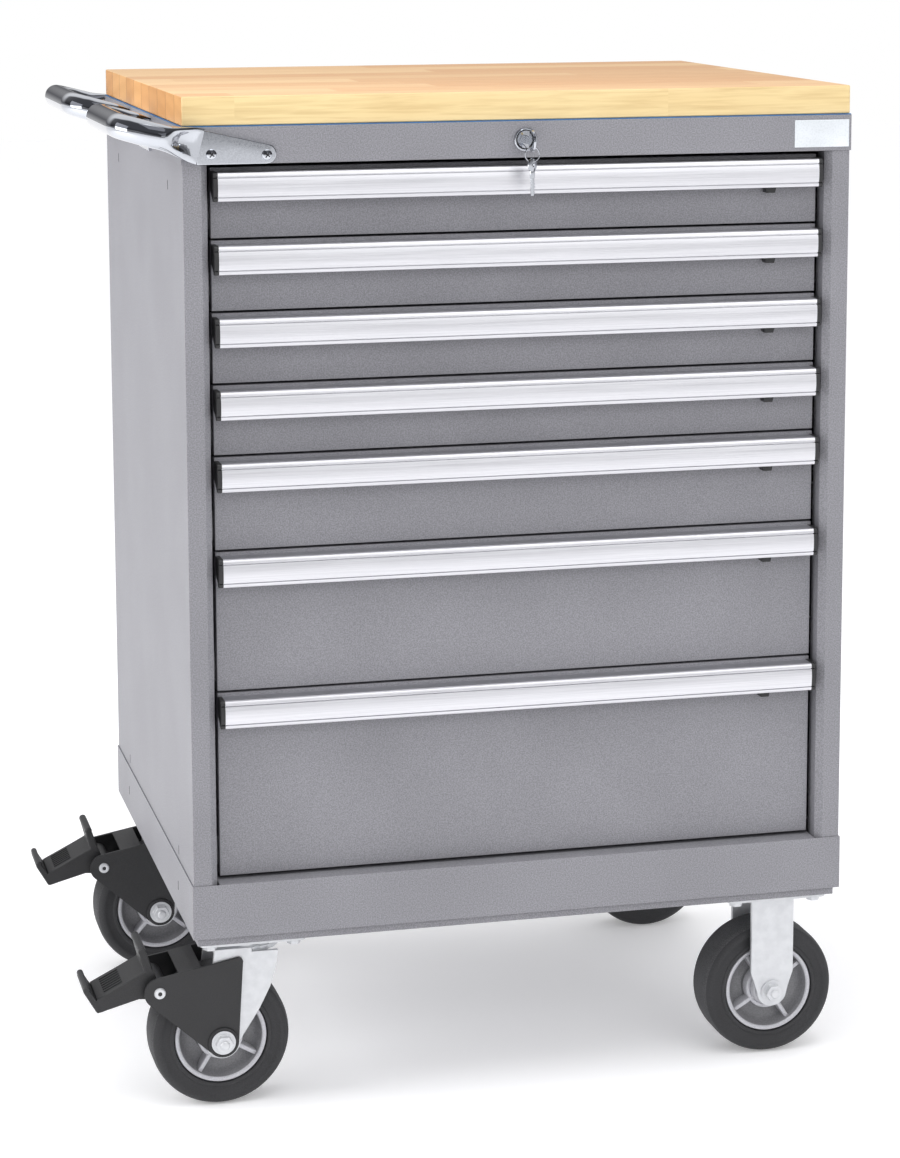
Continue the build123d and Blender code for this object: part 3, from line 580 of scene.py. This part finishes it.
def turned(bm, profile, centre, segments, materials=None):
    """Spin a closed outline of (radius, place along Y) round the Y axis through centre."""
    verts = [bm.verts.new((r, y, 0)) for r, y in profile]
    edges = [bm.edges.new(pair) for pair in zip(verts, verts[1:] + verts[:1])]
    before = set(bm.faces)
    bmesh.ops.spin(bm, geom=verts + edges, cent=(0, 0, 0), axis=(0, 1, 0), angle=2 * pi,
                   steps=segments, use_merge=True)
    new_faces = [f for f in bm.faces if f not in before]
    if materials:
        for face in new_faces:
            middle = face.calc_center_median()
            face.material_index = materials((middle.x ** 2 + middle.z ** 2) ** 0.5, middle.y)
    bmesh.ops.translate(bm, verts=list({v for f in new_faces for v in f.verts}), vec=centre)


print("piece helpers ready")

# %% [markdown]
# ## Sheet metal with rounded folds
#
# Folded sheet never has a knife edge: each fold and each cut edge catches a thin line of light. A
# CAD node is loose triangles, so its mesh is copied, merged and its flat areas dissolved. Then the
# sharp edges long enough to matter are bevelled by a few tenths of a millimetre.

# %% Dress the sheet-metal nodes
def dressed(node, look, rounding, shortest=4 * MM, sharp=28):
    """A copy of a CAD node, with the edges rounded that are long and sharp enough."""
    bm = bmesh.new()
    bm.from_mesh(frame["nodes"][node].data)
    bmesh.ops.remove_doubles(bm, verts=bm.verts, dist=MERGE)
    bmesh.ops.dissolve_limit(bm, angle_limit=radians(0.5), verts=bm.verts, edges=bm.edges)
    edges = [e for e in bm.edges if len(e.link_faces) == 2 and e.calc_length() > shortest
             and e.calc_face_angle(0) > radians(sharp)]
    round_edges(bm, edges, rounding, clamp=False)
    return piece(f"{node}_dressed", bm, [look], body_of(node), node, even_flats=True)


DRAWERS = range(1, 8)
sheet_nodes = ["left_side_panel", "right_side_panel", "top_pan", "base_skirt", "base_pan"]
sheet_nodes += [f"drawer_{number}" for number in DRAWERS]
for node in sheet_nodes:
    made = dressed(node, "housing_paint", 0.45 * MM)
print("dressed", len(sheet_nodes), "sheet-metal nodes; last has", len(made.data.polygons), "faces")

# %% [markdown]
# ## Worktop
#
# One block, eased on every edge by a router. The three kinds of face take three finishes, chosen
# by which way each face looks. It lies on a thin blue sheet that covers the top frame.

# %% Make the worktop
SEAL = 1.0 * MM
SEAL_EDGE = 0.4 * MM


def make_seal():
    """Blue sheet between the top frame and the wood, seen as a thin line."""
    low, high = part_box("top_pan")
    bm = bmesh.new()
    block(bm, (low.x + SEAL_EDGE, low.y + SEAL_EDGE, high.z),
          (high.x - SEAL_EDGE, high.y - SEAL_EDGE, high.z + SEAL), rounding=0.3 * MM)
    piece("blue_seal_sheet", bm, ["blue_seal"], "cabinet", even_flats=True)


def make_worktop():
    """The block of wood, with its top, front and ends in three finishes."""
    low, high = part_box("worktop")
    low.z += SEAL
    bm = bmesh.new()
    block(bm, low, high, rounding=1.6 * MM, segments=3)
    for face in bm.faces:
        if abs(face.normal.x) > 0.75:
            face.material_index = 2
        elif abs(face.normal.y) > 0.6:
            face.material_index = 1
    return piece("butcher_block", bm, ["wood_top", "wood_front", "wood_end"], "cabinet", "worktop")


make_seal()
worktop = make_worktop()
print("worktop", worktop.dimensions)

# %% [markdown]
# ## Drawer handles
#
# Each handle is one drawn aluminium section as wide as its drawer: a small lip on top, a thin
# groove, a broad crowned face, a second groove and a rolled bottom lip. A drawn part is the same
# all along, so its outline is made once and extruded. Black caps close both ends.

# %% Make the handles and their end caps
HANDLE_WALL = 2.0 * MM
GROOVE = 1.8 * MM
CAP_WIDTH = 4.5 * MM


def handle_outline(low, high):
    """Outer side of the section as (y, z), from the drawer front over the face to the lower lip."""
    front, top, bottom = low.y, high.z, low.z
    crown = 0.8 * MM
    face = front + crown
    upper, lower = top - 6.2 * MM, bottom + 5.0 * MM
    middle = (upper + lower) / 2
    half = (upper - lower) / 2
    outline = [(high.y, top), (face + 2.6 * MM, top), (face + 1.0 * MM, top - 0.9 * MM),
               (face + 0.3 * MM, top - 2.6 * MM), (face + 0.2 * MM, upper + 1.1 * MM)]
    outline += [(face + 2.6 * MM, upper + 1.0 * MM), (face + 2.6 * MM, upper)]
    for step in range(7):
        share = 1 - step / 3
        outline.append((front + crown * share ** 2, middle + half * share))
    outline += [(face + GROOVE, lower - 0.1 * MM), (face + GROOVE, lower - 0.8 * MM)]
    outline += [(face, lower - 1.2 * MM), (face + 0.2 * MM, bottom + 1.8 * MM),
                (face + 1.0 * MM, bottom + 0.5 * MM), (face + 2.4 * MM, bottom)]
    outline += [(face + 8.0 * MM, bottom)]
    return outline


def drawn_bar(bm, outline, x0, x1):
    """Extrude a closed outline of (y, z) from x0 to x1."""
    face = bm.faces.new([bm.verts.new((x0, y, z)) for y, z in outline])
    pulled = bmesh.ops.extrude_face_region(bm, geom=[face])
    moved = [g for g in pulled["geom"] if isinstance(g, bmesh.types.BMVert)]
    bmesh.ops.translate(bm, verts=moved, vec=(x1 - x0, 0, 0))
    return moved


def make_handle(number):
    """The drawn rail of one drawer and the caps on both its ends."""
    node = f"drawer_{number}_handle"
    low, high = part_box(node)
    outer = handle_outline(low, high)
    inner_face = low.y + 4.2 * MM
    inner = [(low.y + 8.8 * MM, low.z + HANDLE_WALL), (inner_face, low.z + HANDLE_WALL),
             (inner_face, high.z - HANDLE_WALL), (high.y - HANDLE_WALL, high.z - HANDLE_WALL),
             (high.y - HANDLE_WALL, low.z + 7 * MM), (high.y, low.z + 7 * MM)]
    bm = bmesh.new()
    drawn_bar(bm, outer + inner, low.x + CAP_WIDTH, high.x - CAP_WIDTH)
    rail = piece(f"{node}_rail", bm, ["handle_aluminium"], f"drawer_{number}", node, crisp=24)
    caps = bmesh.new()
    for x0, x1 in ((low.x, low.x + CAP_WIDTH), (high.x - CAP_WIDTH, high.x)):
        filled = outer + [(low.y + 11 * MM, low.z + 3 * MM), (high.y, low.z + 10 * MM)]
        drawn_bar(caps, filled, x0, x1)
    sharp = [e for e in caps.edges if e.calc_face_angle(0) > radians(60)]
    round_edges(caps, sharp, 0.25 * MM)
    piece(f"{node}_caps", caps, ["black_plastic"], f"drawer_{number}")
    return rail


for number in DRAWERS:
    rail = make_handle(number)
print("handles", len(DRAWERS), "faces each", len(rail.data.polygons))

# %% [markdown]
# ## Wheels
#
# Tyre and rim are turned shapes, so each is an outline spun round the axle. The tyre has a soft
# shoulder, a bead next to the rim and a tread band in its own rubber. The rim is a casting: an
# outer ring, a dished web painted darker as shade, a raised ring round the hub, and four ribs on
# each face. The ribs are rounded bars, each turned to its own place round the axle.

# %% Make the tyres and the rims
WHEELS = ("front_left", "rear_left", "front_right", "rear_right")
RIB_TURN = {"front_left": 59, "rear_left": 50, "front_right": 33, "rear_right": 10}


def both_sides(outline):
    return outline + [(r, -y) for r, y in reversed(outline)]


def wheel_part(node):
    """Centre, radius and half width of a tyre or a rim."""
    low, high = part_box(node)
    return (low + high) / 2, (high.z - low.z) / 2, (high.y - low.y) / 2


def tyre_outline(radius, half, inner):
    """Bead, side wall, shoulder and half the tread as (radius, y), then the same on the far side."""
    side = [(inner, half - 4.0 * MM), (inner + 0.8 * MM, half - 1.0 * MM), (inner + 3 * MM, half - 0.2 * MM),
            (inner + 4.6 * MM, half - 0.6 * MM), (inner + 5.4 * MM, half - 1.6 * MM),
            (inner + 13 * MM, half - 1.2 * MM), (inner + 14 * MM, half - 0.3 * MM),
            (inner + 16.5 * MM, half), (radius - 5.5 * MM, half - 0.8 * MM),
            (radius - 2.2 * MM, half - 3.4 * MM), (radius - 0.5 * MM, half - 7.5 * MM),
            (radius, half - 12 * MM)]
    return both_sides(side)


def make_tyre(place):
    """The tyre of one wheel, with its tread in a second rubber."""
    node = f"{place}_tyre"
    centre, radius, half = wheel_part(node)
    inner = wheel_part(f"{place}_rim")[1] + 0.2 * MM
    bm = bmesh.new()
    turned(bm, tyre_outline(radius, half, inner), centre, 96,
           materials=lambda r, y: 1 if r > radius - 2.0 * MM else 0)
    return piece(f"{node}_moulded", bm, ["tyre_rubber", "tyre_tread"], f"{place}_wheel", node,
                 crisp=50)


def rim_outline(radius, hub_half):
    """Outer ring, dished web, raised ring and hub as (radius, y), then the same on the far side."""
    hub = 20 * MM
    side = [(radius, 20 * MM), (radius - 0.8 * MM, 22.6 * MM), (radius - 2 * MM, 23 * MM),
            (radius - 4 * MM, 22.6 * MM), (radius - 5.2 * MM, 21.4 * MM), (radius - 6.5 * MM, 15 * MM),
            (radius - 9 * MM, 8.5 * MM), (radius - 13 * MM, 5.6 * MM), (hub + 10 * MM, 4.8 * MM),
            (hub + 6.4 * MM, 6.0 * MM), (hub + 5.2 * MM, 9 * MM), (hub + 4.8 * MM, 18 * MM),
            (hub + 4.0 * MM, 19.2 * MM), (hub + 1.2 * MM, 19.4 * MM), (hub, 18.4 * MM),
            (hub - 0.8 * MM, hub_half - 3 * MM), (hub - 2.6 * MM, hub_half - 1.2 * MM),
            (hub - 6 * MM, hub_half - 1.0 * MM), (hub - 7 * MM, hub_half - 2.4 * MM),
            (hub - 10 * MM, hub_half - 2.4 * MM), (hub - 10.5 * MM, hub_half),
            (6.1 * MM, hub_half)]
    return both_sides(side)


def rib_bars(bm, centre, radius, turn):
    """Four rounded bars on each face of the web, narrower in front and lower towards the ring."""
    inner, outer = 18 * MM, radius - 4.6 * MM
    near, far = 3.0 * MM, 20.0 * MM
    middle_x, middle_y = (inner + outer) / 2, (near + far) / 2
    for side in (-1, 1):
        for count in range(4):
            before = set(bm.verts)
            rib = bmesh.ops.create_cube(bm, size=1.0)["verts"]
            bmesh.ops.scale(bm, verts=rib, vec=(outer - inner, far - near, 6.4 * MM))
            bmesh.ops.translate(bm, verts=rib, vec=(middle_x, side * middle_y, 0))
            for vert in rib:
                if side * vert.co.y > middle_y:
                    vert.co.z *= 0.72
                    if vert.co.x > middle_x:
                        vert.co.y -= side * 2.0 * MM
            round_edges(bm, list({e for v in rib for e in v.link_edges}), 1.2 * MM)
            turn_new(bm, before, -(turn + 90 * count), "Y", centre)


def make_rim(place):
    """The rim of one wheel with its ribs."""
    node = f"{place}_rim"
    centre, radius, half = wheel_part(node)
    bm = bmesh.new()
    # The web between the hub ring and the outer ring takes the second, darker finish: painted shade.
    turned(bm, rim_outline(radius, half), centre, 72,
           materials=lambda r, y: 1 if 25 * MM < r < radius - 5.8 * MM else 0)
    rib_bars(bm, centre, radius, RIB_TURN[place])
    return piece(f"{node}_cast", bm, ["rim_grey", "rim_web"], f"{place}_wheel", node, crisp=40)


for place in WHEELS:
    tyre = make_tyre(place)
    rim = make_rim(place)
print("wheel faces", len(tyre.data.polygons), len(rim.data.polygons))

# %% [markdown]
# ## Push handles
#
# Each push handle is one steel tube, bent into a loop, pressed flat at both ends and chromed. A
# sweep of one circle can't change shape, so the tube is made as a row of rings. Each ring is a
# circle scaled to the local height and width and turned to the local direction, and neighbours
# are bridged. Where the tube turns flat, the press leaves a dish in its face. The flat ends are
# plates with a straight lower edge, a sloping upper edge and a round tip.

# %% Make the push handles
# The tube has a radius, a radius at its bends, a neck in which it goes from flat to round, and a
# tilt, which is how much it rises for each metre that it stands out.
TUBE = 13 * MM
BEND = 36 * MM
NECK = 22 * MM
TILT = 0.268
PLATE = 4 * MM
PLATE_HEIGHT = 37 * MM
PLATE_START = 19.4 * MM
PLATE_END = 96.4 * MM
TIP_RADIUS = 9 * MM
TAB_REACH = 70.8 * MM
TAB_HEIGHT = 33 * MM
TAB_OVERLAP = 6 * MM
PLATE_OVERLAP = 4 * MM
DISH = 5 * MM
SHORTEST_STEP = 0.3 * MM


def tube_ring(bm, centre, forward, half_height, half_width, dish=0.0, flat=0.0):
    """A circle of vertices, pressed towards a rectangle as flat goes from 0 to 1."""
    forward = forward.normalized()
    side = forward.cross(Vector((0, 0, 1))).normalized()
    up = side.cross(forward)
    turn = Matrix((side * half_width, up * half_height, forward)).transposed().to_4x4()
    verts = bmesh.ops.create_circle(bm, segments=48, radius=1.0)["verts"]
    power = 1 / (1 + 5 * flat)
    for vert in verts:
        vert.co.x = copysign(abs(vert.co.x) ** power, vert.co.x)
        vert.co.y = copysign(abs(vert.co.y) ** power, vert.co.y)
    bmesh.ops.transform(bm, matrix=Matrix.Translation(centre) @ turn, verts=verts)
    for vert in verts:
        height = (vert.co - centre).dot(up) / half_height
        outward = -(vert.co - centre).dot(side) / half_width
        if dish and outward > 0:
            vert.co += side * dish * max(0.0, 1 - (1.5 * height - 0.15) ** 2)
    return verts, [e for e in bm.edges if e.verts[0] in verts]


def smooth_step(t):
    """0 to 1 with level ends."""
    return t * t * (3 - 2 * t)


def loop_sections(front, side_x, out_x, leg_y, root_x, mid_z):
    """Rows of centre, direction, half height, half width, dish and flatness along the tube."""
    tube_y = front - TUBE

    def at(x, y):
        return Vector((x, y, mid_z + max(0.0, root_x - x) * TILT))

    def heading(dx, dy):
        return Vector((dx, dy, -dx * TILT))

    rows = []
    start_x = side_x - NECK
    for step in range(13):
        t = step / 12
        s = smooth_step(t)
        x = root_x + (start_x - root_x) * t
        y = front - PLATE / 2 + (tube_y - front + PLATE / 2) * s
        rows.append((at(x, y), heading(-1, 0), PLATE_HEIGHT / 2 + (TUBE - PLATE_HEIGHT / 2) * s,
                     PLATE / 2 + (TUBE - PLATE / 2) * s, DISH * sin(pi * t) ** 2, (1 - t) ** 2))
    quarter = [pi / 2 * step / 8 for step in range(9)]
    for a in quarter:
        rows.append((at(out_x + BEND * (1 - sin(a)), tube_y + BEND * (1 - cos(a))),
                     heading(-cos(a), sin(a)), TUBE, TUBE))
    for a in quarter:
        rows.append((at(out_x + BEND * (1 - cos(a)), leg_y - BEND * (1 - sin(a))),
                     heading(sin(a), cos(a)), TUBE, TUBE))
    for step in range(1, 9):
        t = step / 8
        s = smooth_step(t)
        x = side_x - NECK + (NECK - 0.5 * MM) * t
        centre = at(x, leg_y)
        centre.z -= 4 * MM * s
        rows.append((centre, heading(1, 0), TUBE + 1.5 * MM * s, TUBE + (PLATE - TUBE) * s, 0.0, t * t))
    return rows


def plate_outline(start, end, height):
    """Points of a plate that stands on 0, is tall at start and has a round tip at end."""
    tip = end - TIP_RADIUS
    radius = (height + (2 * TIP_RADIUS - height) * (tip - start) / (end - start)) / 2
    slope = atan2(height - 2 * TIP_RADIUS, end - start)
    arc = []
    for step in range(11):
        a = -pi / 2 + (pi - slope) * step / 10
        arc.append((tip + radius * cos(a), radius + radius * sin(a)))
    return [(start, 0)] + arc + [(start, height)]


def pressed_plate(bm, outline, origin, along, outward):
    """Extrude an outline of (distance along, height) by the plate's thickness."""
    made = [bm.verts.new(origin + along * a + Vector((0, 0, z))) for a, z in outline]
    face = bm.faces.new(made)
    pulled = bmesh.ops.extrude_face_region(bm, geom=[face])["geom"]
    verts = [g for g in pulled if isinstance(g, bmesh.types.BMVert)]
    bmesh.ops.translate(bm, verts=verts, vec=outward * PLATE)
    outer = [f for v in verts for f in v.link_faces if all(x in verts for x in f.verts)]
    rim = list({e for f in outer for e in f.edges})
    round_edges(bm, rim, 1.1 * MM, 3)


def mirrored_front_to_back():
    """The matrix that swaps front and back about the middle of the top frame."""
    pan_low, pan_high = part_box("top_pan")
    return Matrix.Translation((0, pan_low.y + pan_high.y, 0)) @ Matrix.Diagonal((1, -1, 1, 1))


def make_push_handle(node, at_back):
    """One loop with its plate and its side tab; the one at the back is the front one mirrored."""
    low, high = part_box("front_push_handle")
    pan_low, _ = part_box("top_pan")
    front, side_x, root_x = pan_low.y, pan_low.x, pan_low.x + PLATE_START
    mid_z = pan_low.z + PLATE_HEIGHT / 2
    leg_y = high.y - TAB_REACH
    bm = bmesh.new()
    rows = []
    for row in loop_sections(front, side_x, low.x + TUBE, leg_y, root_x, mid_z):
        if not rows or (row[0] - rows[-1][0]).length > SHORTEST_STEP:
            rows.append(row)
    rings = [tube_ring(bm, *row) for row in rows]
    for (_, first), (_, second) in zip(rings, rings[1:]):
        bmesh.ops.bridge_loops(bm, edges=first + second)
    for verts, _ in (rings[0], rings[-1]):
        bm.faces.new(verts)
    plate = plate_outline(-PLATE_OVERLAP, PLATE_END - PLATE_START, PLATE_HEIGHT)
    pressed_plate(bm, plate, Vector((root_x, front, pan_low.z)), Vector((1, 0, 0)), Vector((0, -1, 0)))
    tab = plate_outline(0, TAB_REACH + TAB_OVERLAP, TAB_HEIGHT)
    pressed_plate(bm, tab, Vector((side_x, leg_y - TAB_OVERLAP, pan_low.z)), Vector((0, 1, 0)),
                  Vector((-1, 0, 0)))
    if at_back:
        bmesh.ops.transform(bm, matrix=mirrored_front_to_back(), verts=bm.verts)
    return piece(f"{node}_tube", bm, ["chrome"], "cabinet", node, crisp=50, even_flats=True)


make_push_handle("front_push_handle", False)
made = make_push_handle("rear_push_handle", True)
print("push handle faces", len(made.data.polygons))

# %% [markdown]
# ## Casters: bolts, rivets and rings
#
# The forks, covers and pedals keep their CAD shapes, with rounded edges. What makes a caster look
# real is the hardware at its pivots. Each axle end gets a rounded stub in its nut and, on the
# braked casters, a black ring under its washer. Each pedal pin ends in a rolled bright rivet.

# %% Dress the casters
BRAKED = ("front_left", "rear_left")

for node in ("rigid_caster_forks", "swivel_caster_plates"):
    dressed(node, "zinc_plate", 0.5 * MM, shortest=5 * MM)
for place in BRAKED:
    dressed(f"{place}_fork", "zinc_plate", 0.5 * MM, shortest=5 * MM)
    dressed(f"{place}_brake_cover", "black_plastic", 0.8 * MM, shortest=2 * MM, sharp=45)
    dressed(f"{place}_brake_pedal", "black_plastic", 1.3 * MM, shortest=3 * MM, sharp=30)

# Outlines as (radius, height over the face that the part sits on), in millimetres. HAIR is a
# radius too small to see, where an outline ends instead of on the axis.
HAIR = 0.01
RIVET = ((HAIR, 0.9), (1.6, 0.9), (2.0, 1.9), (3.6, 2.5), (5.4, 1.9), (6.2, 0.2), (6.2, -0.6),
         (HAIR, -0.6))
AXLE_END = ((HAIR, 2.4), (3.4, 2.4), (4.6, 1.8), (5.0, 1.0), (5.0, -1.0), (HAIR, -1.0))
DARK_RING = ((13.2, -0.2), (13.2, 2.0), (14.2, 2.6), (16.2, 2.0), (16.8, -0.2))

# From the middle of a wheel to the outer face of its fork, and from there to the nut's face.
LEG_FACE = {"left": 38.3 * MM, "right": 35.0 * MM}
NUT_FACE = 10.5 * MM


def on_face(bm, outline, centre, side, segments=28):
    """A turned part on a face that looks along side (-1 or 1) of Y."""
    turned(bm, [(r * MM, side * y * MM) for r, y in outline], centre, segments)


def make_hardware(place):
    """Stubs on both axle ends of a caster, and on a braked one its rings and rivets."""
    hand = place.split("_")[1]
    centre = wheel_part(f"{place}_rim")[0]
    body = f"{place}_swivel" if hand == "left" else "cabinet"
    bright, dark = bmesh.new(), bmesh.new()
    for side in (-1, 1):
        face = Vector((centre.x, centre.y + side * LEG_FACE[hand], centre.z))
        on_face(bright, AXLE_END, face + Vector((0, side * NUT_FACE, 0)), side)
        if place in BRAKED:
            on_face(dark, DARK_RING, face, side, segments=40)
            pin = joint_place(f"{place}_pedal_press")
            on_face(bright, RIVET, Vector((pin.x, face.y, pin.z)), side)
    piece(f"{place}_pivot_ends", bright, ["zinc_plate"], body, crisp=40)
    if place in BRAKED:
        piece(f"{place}_axle_rings", dark, ["black_plastic"], body, crisp=40)


for place in WHEELS:
    make_hardware(place)


# Places from the pedal's pin: both ends of the sloping pad, and two bars with their radii.
PAD_TOP = Vector((-34 * MM, 0, 12 * MM))
PAD_FOOT = Vector((-66 * MM, 0, -4 * MM))
PEDAL_BARS = ((-76.4 * MM, 7.5 * MM, 3.4 * MM), (-16.5 * MM, 44 * MM, 4.2 * MM))
GRIP_RIBS = 7
GRIP_PITCH = 6.4 * MM


def make_pedal_ribs(place):
    """Grip ribs moulded on the sloping pad, and a rounded bar along the raised rib and lip."""
    pin = joint_place(f"{place}_pedal_press")
    low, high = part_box(f"{place}_brake_pedal")
    middle, half = (low.y + high.y) / 2, (high.y - low.y) / 2
    bm = bmesh.new()
    slope = degrees(atan2(PAD_TOP.z - PAD_FOOT.z, PAD_TOP.x - PAD_FOOT.x))
    for count in range(GRIP_RIBS):
        y = middle + (count - (GRIP_RIBS - 1) / 2) * GRIP_PITCH
        block(bm, (-11 * MM, y - 1.1 * MM, -1.0 * MM), (11 * MM, y + 1.1 * MM, 1.3 * MM), 0.6 * MM)
    spot = Vector((pin.x, 0, pin.z)) + PAD_TOP.lerp(PAD_FOOT, 0.42)
    turn_new(bm, (), -slope, "Y", spot)
    for x, z, radius in PEDAL_BARS:
        bar = [(HAIR * MM, half), (0.7 * radius, half), (radius, half - 1.2 * MM)]
        turned(bm, both_sides(bar), Vector((pin.x + x, middle, pin.z + z)), 20)
    piece(f"{place}_pedal_grip", bm, ["black_plastic"], f"{place}_pedal", crisp=40)


for place in BRAKED:
    make_pedal_ribs(place)
print("caster hardware on", WHEELS)

# %% [markdown]
# ## Small trim
#
# A few small things finish the cabinet: the pale blank plate at the right of the top frame, the
# narrow slots punched in the side panels and the skirt, the crossed screws in the chrome plates,
# the lip of the lock, and the spare key on its ring. The slots, the crosses of the screws and the
# groove of the lock are dark bars and rings on the surface, painted shade where real recesses are.
# The CAD boxes give them their places; only the slots have heights of their own.

# %% Badge plate and slots
BADGE_WIDTH = 61 * MM
BADGE_HEIGHT = 29 * MM
SLOT_INSET = 100 * MM
SLOT_HALF_WIDTH = 1.1 * MM
SLOT_HALF_HEIGHT = 5 * MM
SLOT_SKIN = 0.12 * MM
SIDE_SLOTS = (267 * MM, 985 * MM)
SKIRT_SLOTS = (228 * MM,)


def make_badge():
    """A plate with a thin raised border and nothing on it."""
    low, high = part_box("top_pan")
    x1, z0 = high.x - 3 * MM, low.z + 4 * MM
    bm = bmesh.new()
    block(bm, (x1 - BADGE_WIDTH, low.y - 0.9 * MM, z0), (x1, low.y + 0.2 * MM, z0 + BADGE_HEIGHT),
          0.4 * MM)
    front = [f for f in bm.faces if f.normal.y < -0.9]
    bmesh.ops.inset_region(bm, faces=front, thickness=1.6 * MM, depth=-0.25 * MM)
    piece("blank_badge_plate", bm, ["badge_plate"], "cabinet", even_flats=True)


def make_slot_shade_bars():
    """Narrow upright slots, as dark bars in the faces of the sheet: painted shade where real slots are open."""
    half = Vector((SLOT_SKIN, SLOT_HALF_WIDTH, SLOT_HALF_HEIGHT))
    left, right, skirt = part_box("left_side_panel"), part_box("right_side_panel"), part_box("base_skirt")
    bm = bmesh.new()
    for x, (low, high), heights in ((left[0].x, left, SIDE_SLOTS), (right[1].x, right, SIDE_SLOTS),
                                    (skirt[0].x, skirt, SKIRT_SLOTS), (skirt[1].x, skirt, SKIRT_SLOTS)):
        for y in (low.y + SLOT_INSET, high.y - SLOT_INSET):
            for z in heights:
                middle = Vector((x, y, z))
                block(bm, middle - half, middle + half, 0.1 * MM, 1)
    piece("slot_bars_painted_shade", bm, ["dark_gap"], "cabinet", crisp=60)


make_badge()
make_slot_shade_bars()
print("badge and slots made")

# %% Screws, lock and spare key
SCREW_HEAD = ((HAIR, 3.0), (2.6, 2.9), (4.4, 2.2), (5.4, 1.0), (5.6, -0.1), (HAIR, -0.1))
SCREW_GAP_FRONT = 57.1 * MM
SCREW_GAP_SIDE = 40.8 * MM
SCREW_RISE = 1.5 * MM
CROSS_DEGREES = (35, 125)


def pan_head(bm):
    """A domed head that looks forward."""
    on_face(bm, SCREW_HEAD, Vector((0, 0, 0)), -1)


def painted_cross_shade(bm):
    """Two dark bars that cross, just proud of the pan head: painted shade for the crossed recess."""
    for turn in CROSS_DEGREES:
        before = set(bm.verts)
        block(bm, (-3.2 * MM, -3.05 * MM, -0.6 * MM), (3.2 * MM, -2.4 * MM, 0.6 * MM))
        turn_new(bm, before, turn, "Y")


def at_screws(shape):
    """One shape that looks forward, put on every screw of both push handles."""
    pan_low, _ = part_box("top_pan")
    _, handle_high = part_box("front_push_handle")
    z = pan_low.z + TIP_RADIUS
    front, last = pan_low.y - PLATE, pan_low.x + PLATE_END - TIP_RADIUS
    side, side_last = pan_low.x - PLATE, handle_high.y - TIP_RADIUS
    spots = (((last - SCREW_GAP_FRONT, front, z + SCREW_RISE), 0), ((last, front, z), 0),
             ((side, side_last - SCREW_GAP_SIDE, z + SCREW_RISE), -90), ((side, side_last, z), -90))
    bm = bmesh.new()
    for place, angle in spots:
        before = set(bm.verts)
        shape(bm)
        turn_new(bm, before, angle, "Z", place)
    copied = bmesh.ops.duplicate(bm, geom=bm.faces[:])["geom"]
    at_back = [g for g in copied if isinstance(g, bmesh.types.BMVert)]
    bmesh.ops.transform(bm, matrix=mirrored_front_to_back(), verts=at_back)
    return bm


def make_screw_heads():
    """Pan heads with a crossed recess drawn as painted shade, one over each CAD screw."""
    bright, dark = at_screws(pan_head), at_screws(painted_cross_shade)
    piece("handle_screw_heads", bright, ["chrome"], "cabinet", "handle_screws")
    piece("screw_crosses_painted_shade", dark, ["dark_gap"], "cabinet")


def make_lock_lip():
    """Rolled bright lip round the lock's face, with a dark ring inside it as painted shade of a groove."""
    low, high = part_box("lock_housing")
    radius = (high.z - low.z) / 2
    face = Vector(((low.x + high.x) / 2, low.y, (low.z + high.z) / 2))
    bright, dark = bmesh.new(), bmesh.new()
    lip = ((0, 0.4), (0, -0.6), (0.6, -1.2), (1.4, -1.2), (2.0, -0.4), (2.0, 0.4))
    groove = ((2.0, 0.2), (2.0, -0.12), (3.1, -0.12), (3.1, 0.2))
    turned(bright, [(radius - inset * MM, y * MM) for inset, y in lip], face, 48)
    # The groove is a thin near-black ring: painted shade.
    turned(dark, [(radius - inset * MM, y * MM) for inset, y in groove], face, 48)
    piece("lock_lip", bright, ["chrome"], "cabinet")
    piece("lock_groove_painted_shade", dark, ["dark_gap"], "cabinet")


KEY_BOW = ((2.2, -0.9), (2.2, 0.9), (6.6, 0.9), (7.2, 0.5), (7.2, -0.5), (6.6, -0.9))
KEY_DEGREES = 38
KEY_TEETH = 5


def make_spare_key():
    """A flat key that hangs from the lowest point of the ring, turned partly to the front."""
    low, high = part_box("key_ring")
    hook = Vector(((low.x + high.x) / 2, (low.y + high.y) / 2, low.z + 0.7 * MM))
    bm = bmesh.new()
    turned(bm, [(r * MM, y * MM) for r, y in KEY_BOW], Vector((0, 0, 0)), 32)
    turn_new(bm, (), KEY_DEGREES, "Z", hook - Vector((0, 0, 3.4 * MM)))
    before = set(bm.verts)
    block(bm, (-3.6 * MM, -0.9 * MM, -16 * MM), (3.6 * MM, 0.9 * MM, -8 * MM), 0.5 * MM)
    block(bm, (-2.4 * MM, -0.8 * MM, -34 * MM), (2.4 * MM, 0.8 * MM, -15 * MM), 0.5 * MM)
    for count in range(KEY_TEETH):
        depth = 0.6 * MM + 0.5 * MM * (count % 3)
        tooth = -(19 + 3 * count) * MM
        block(bm, (2.2 * MM, -0.7 * MM, tooth - 1.0 * MM), (2.4 * MM + depth, 0.7 * MM, tooth + 1.0 * MM))
    turn_new(bm, before, KEY_DEGREES, "Z", hook - Vector((0, 0, 1.2 * MM)))
    piece("spare_key", bm, ["chrome"], "key_ring", even_flats=True)


make_screw_heads()
make_lock_lip()
make_spare_key()
print("screws, lock lip and spare key made")
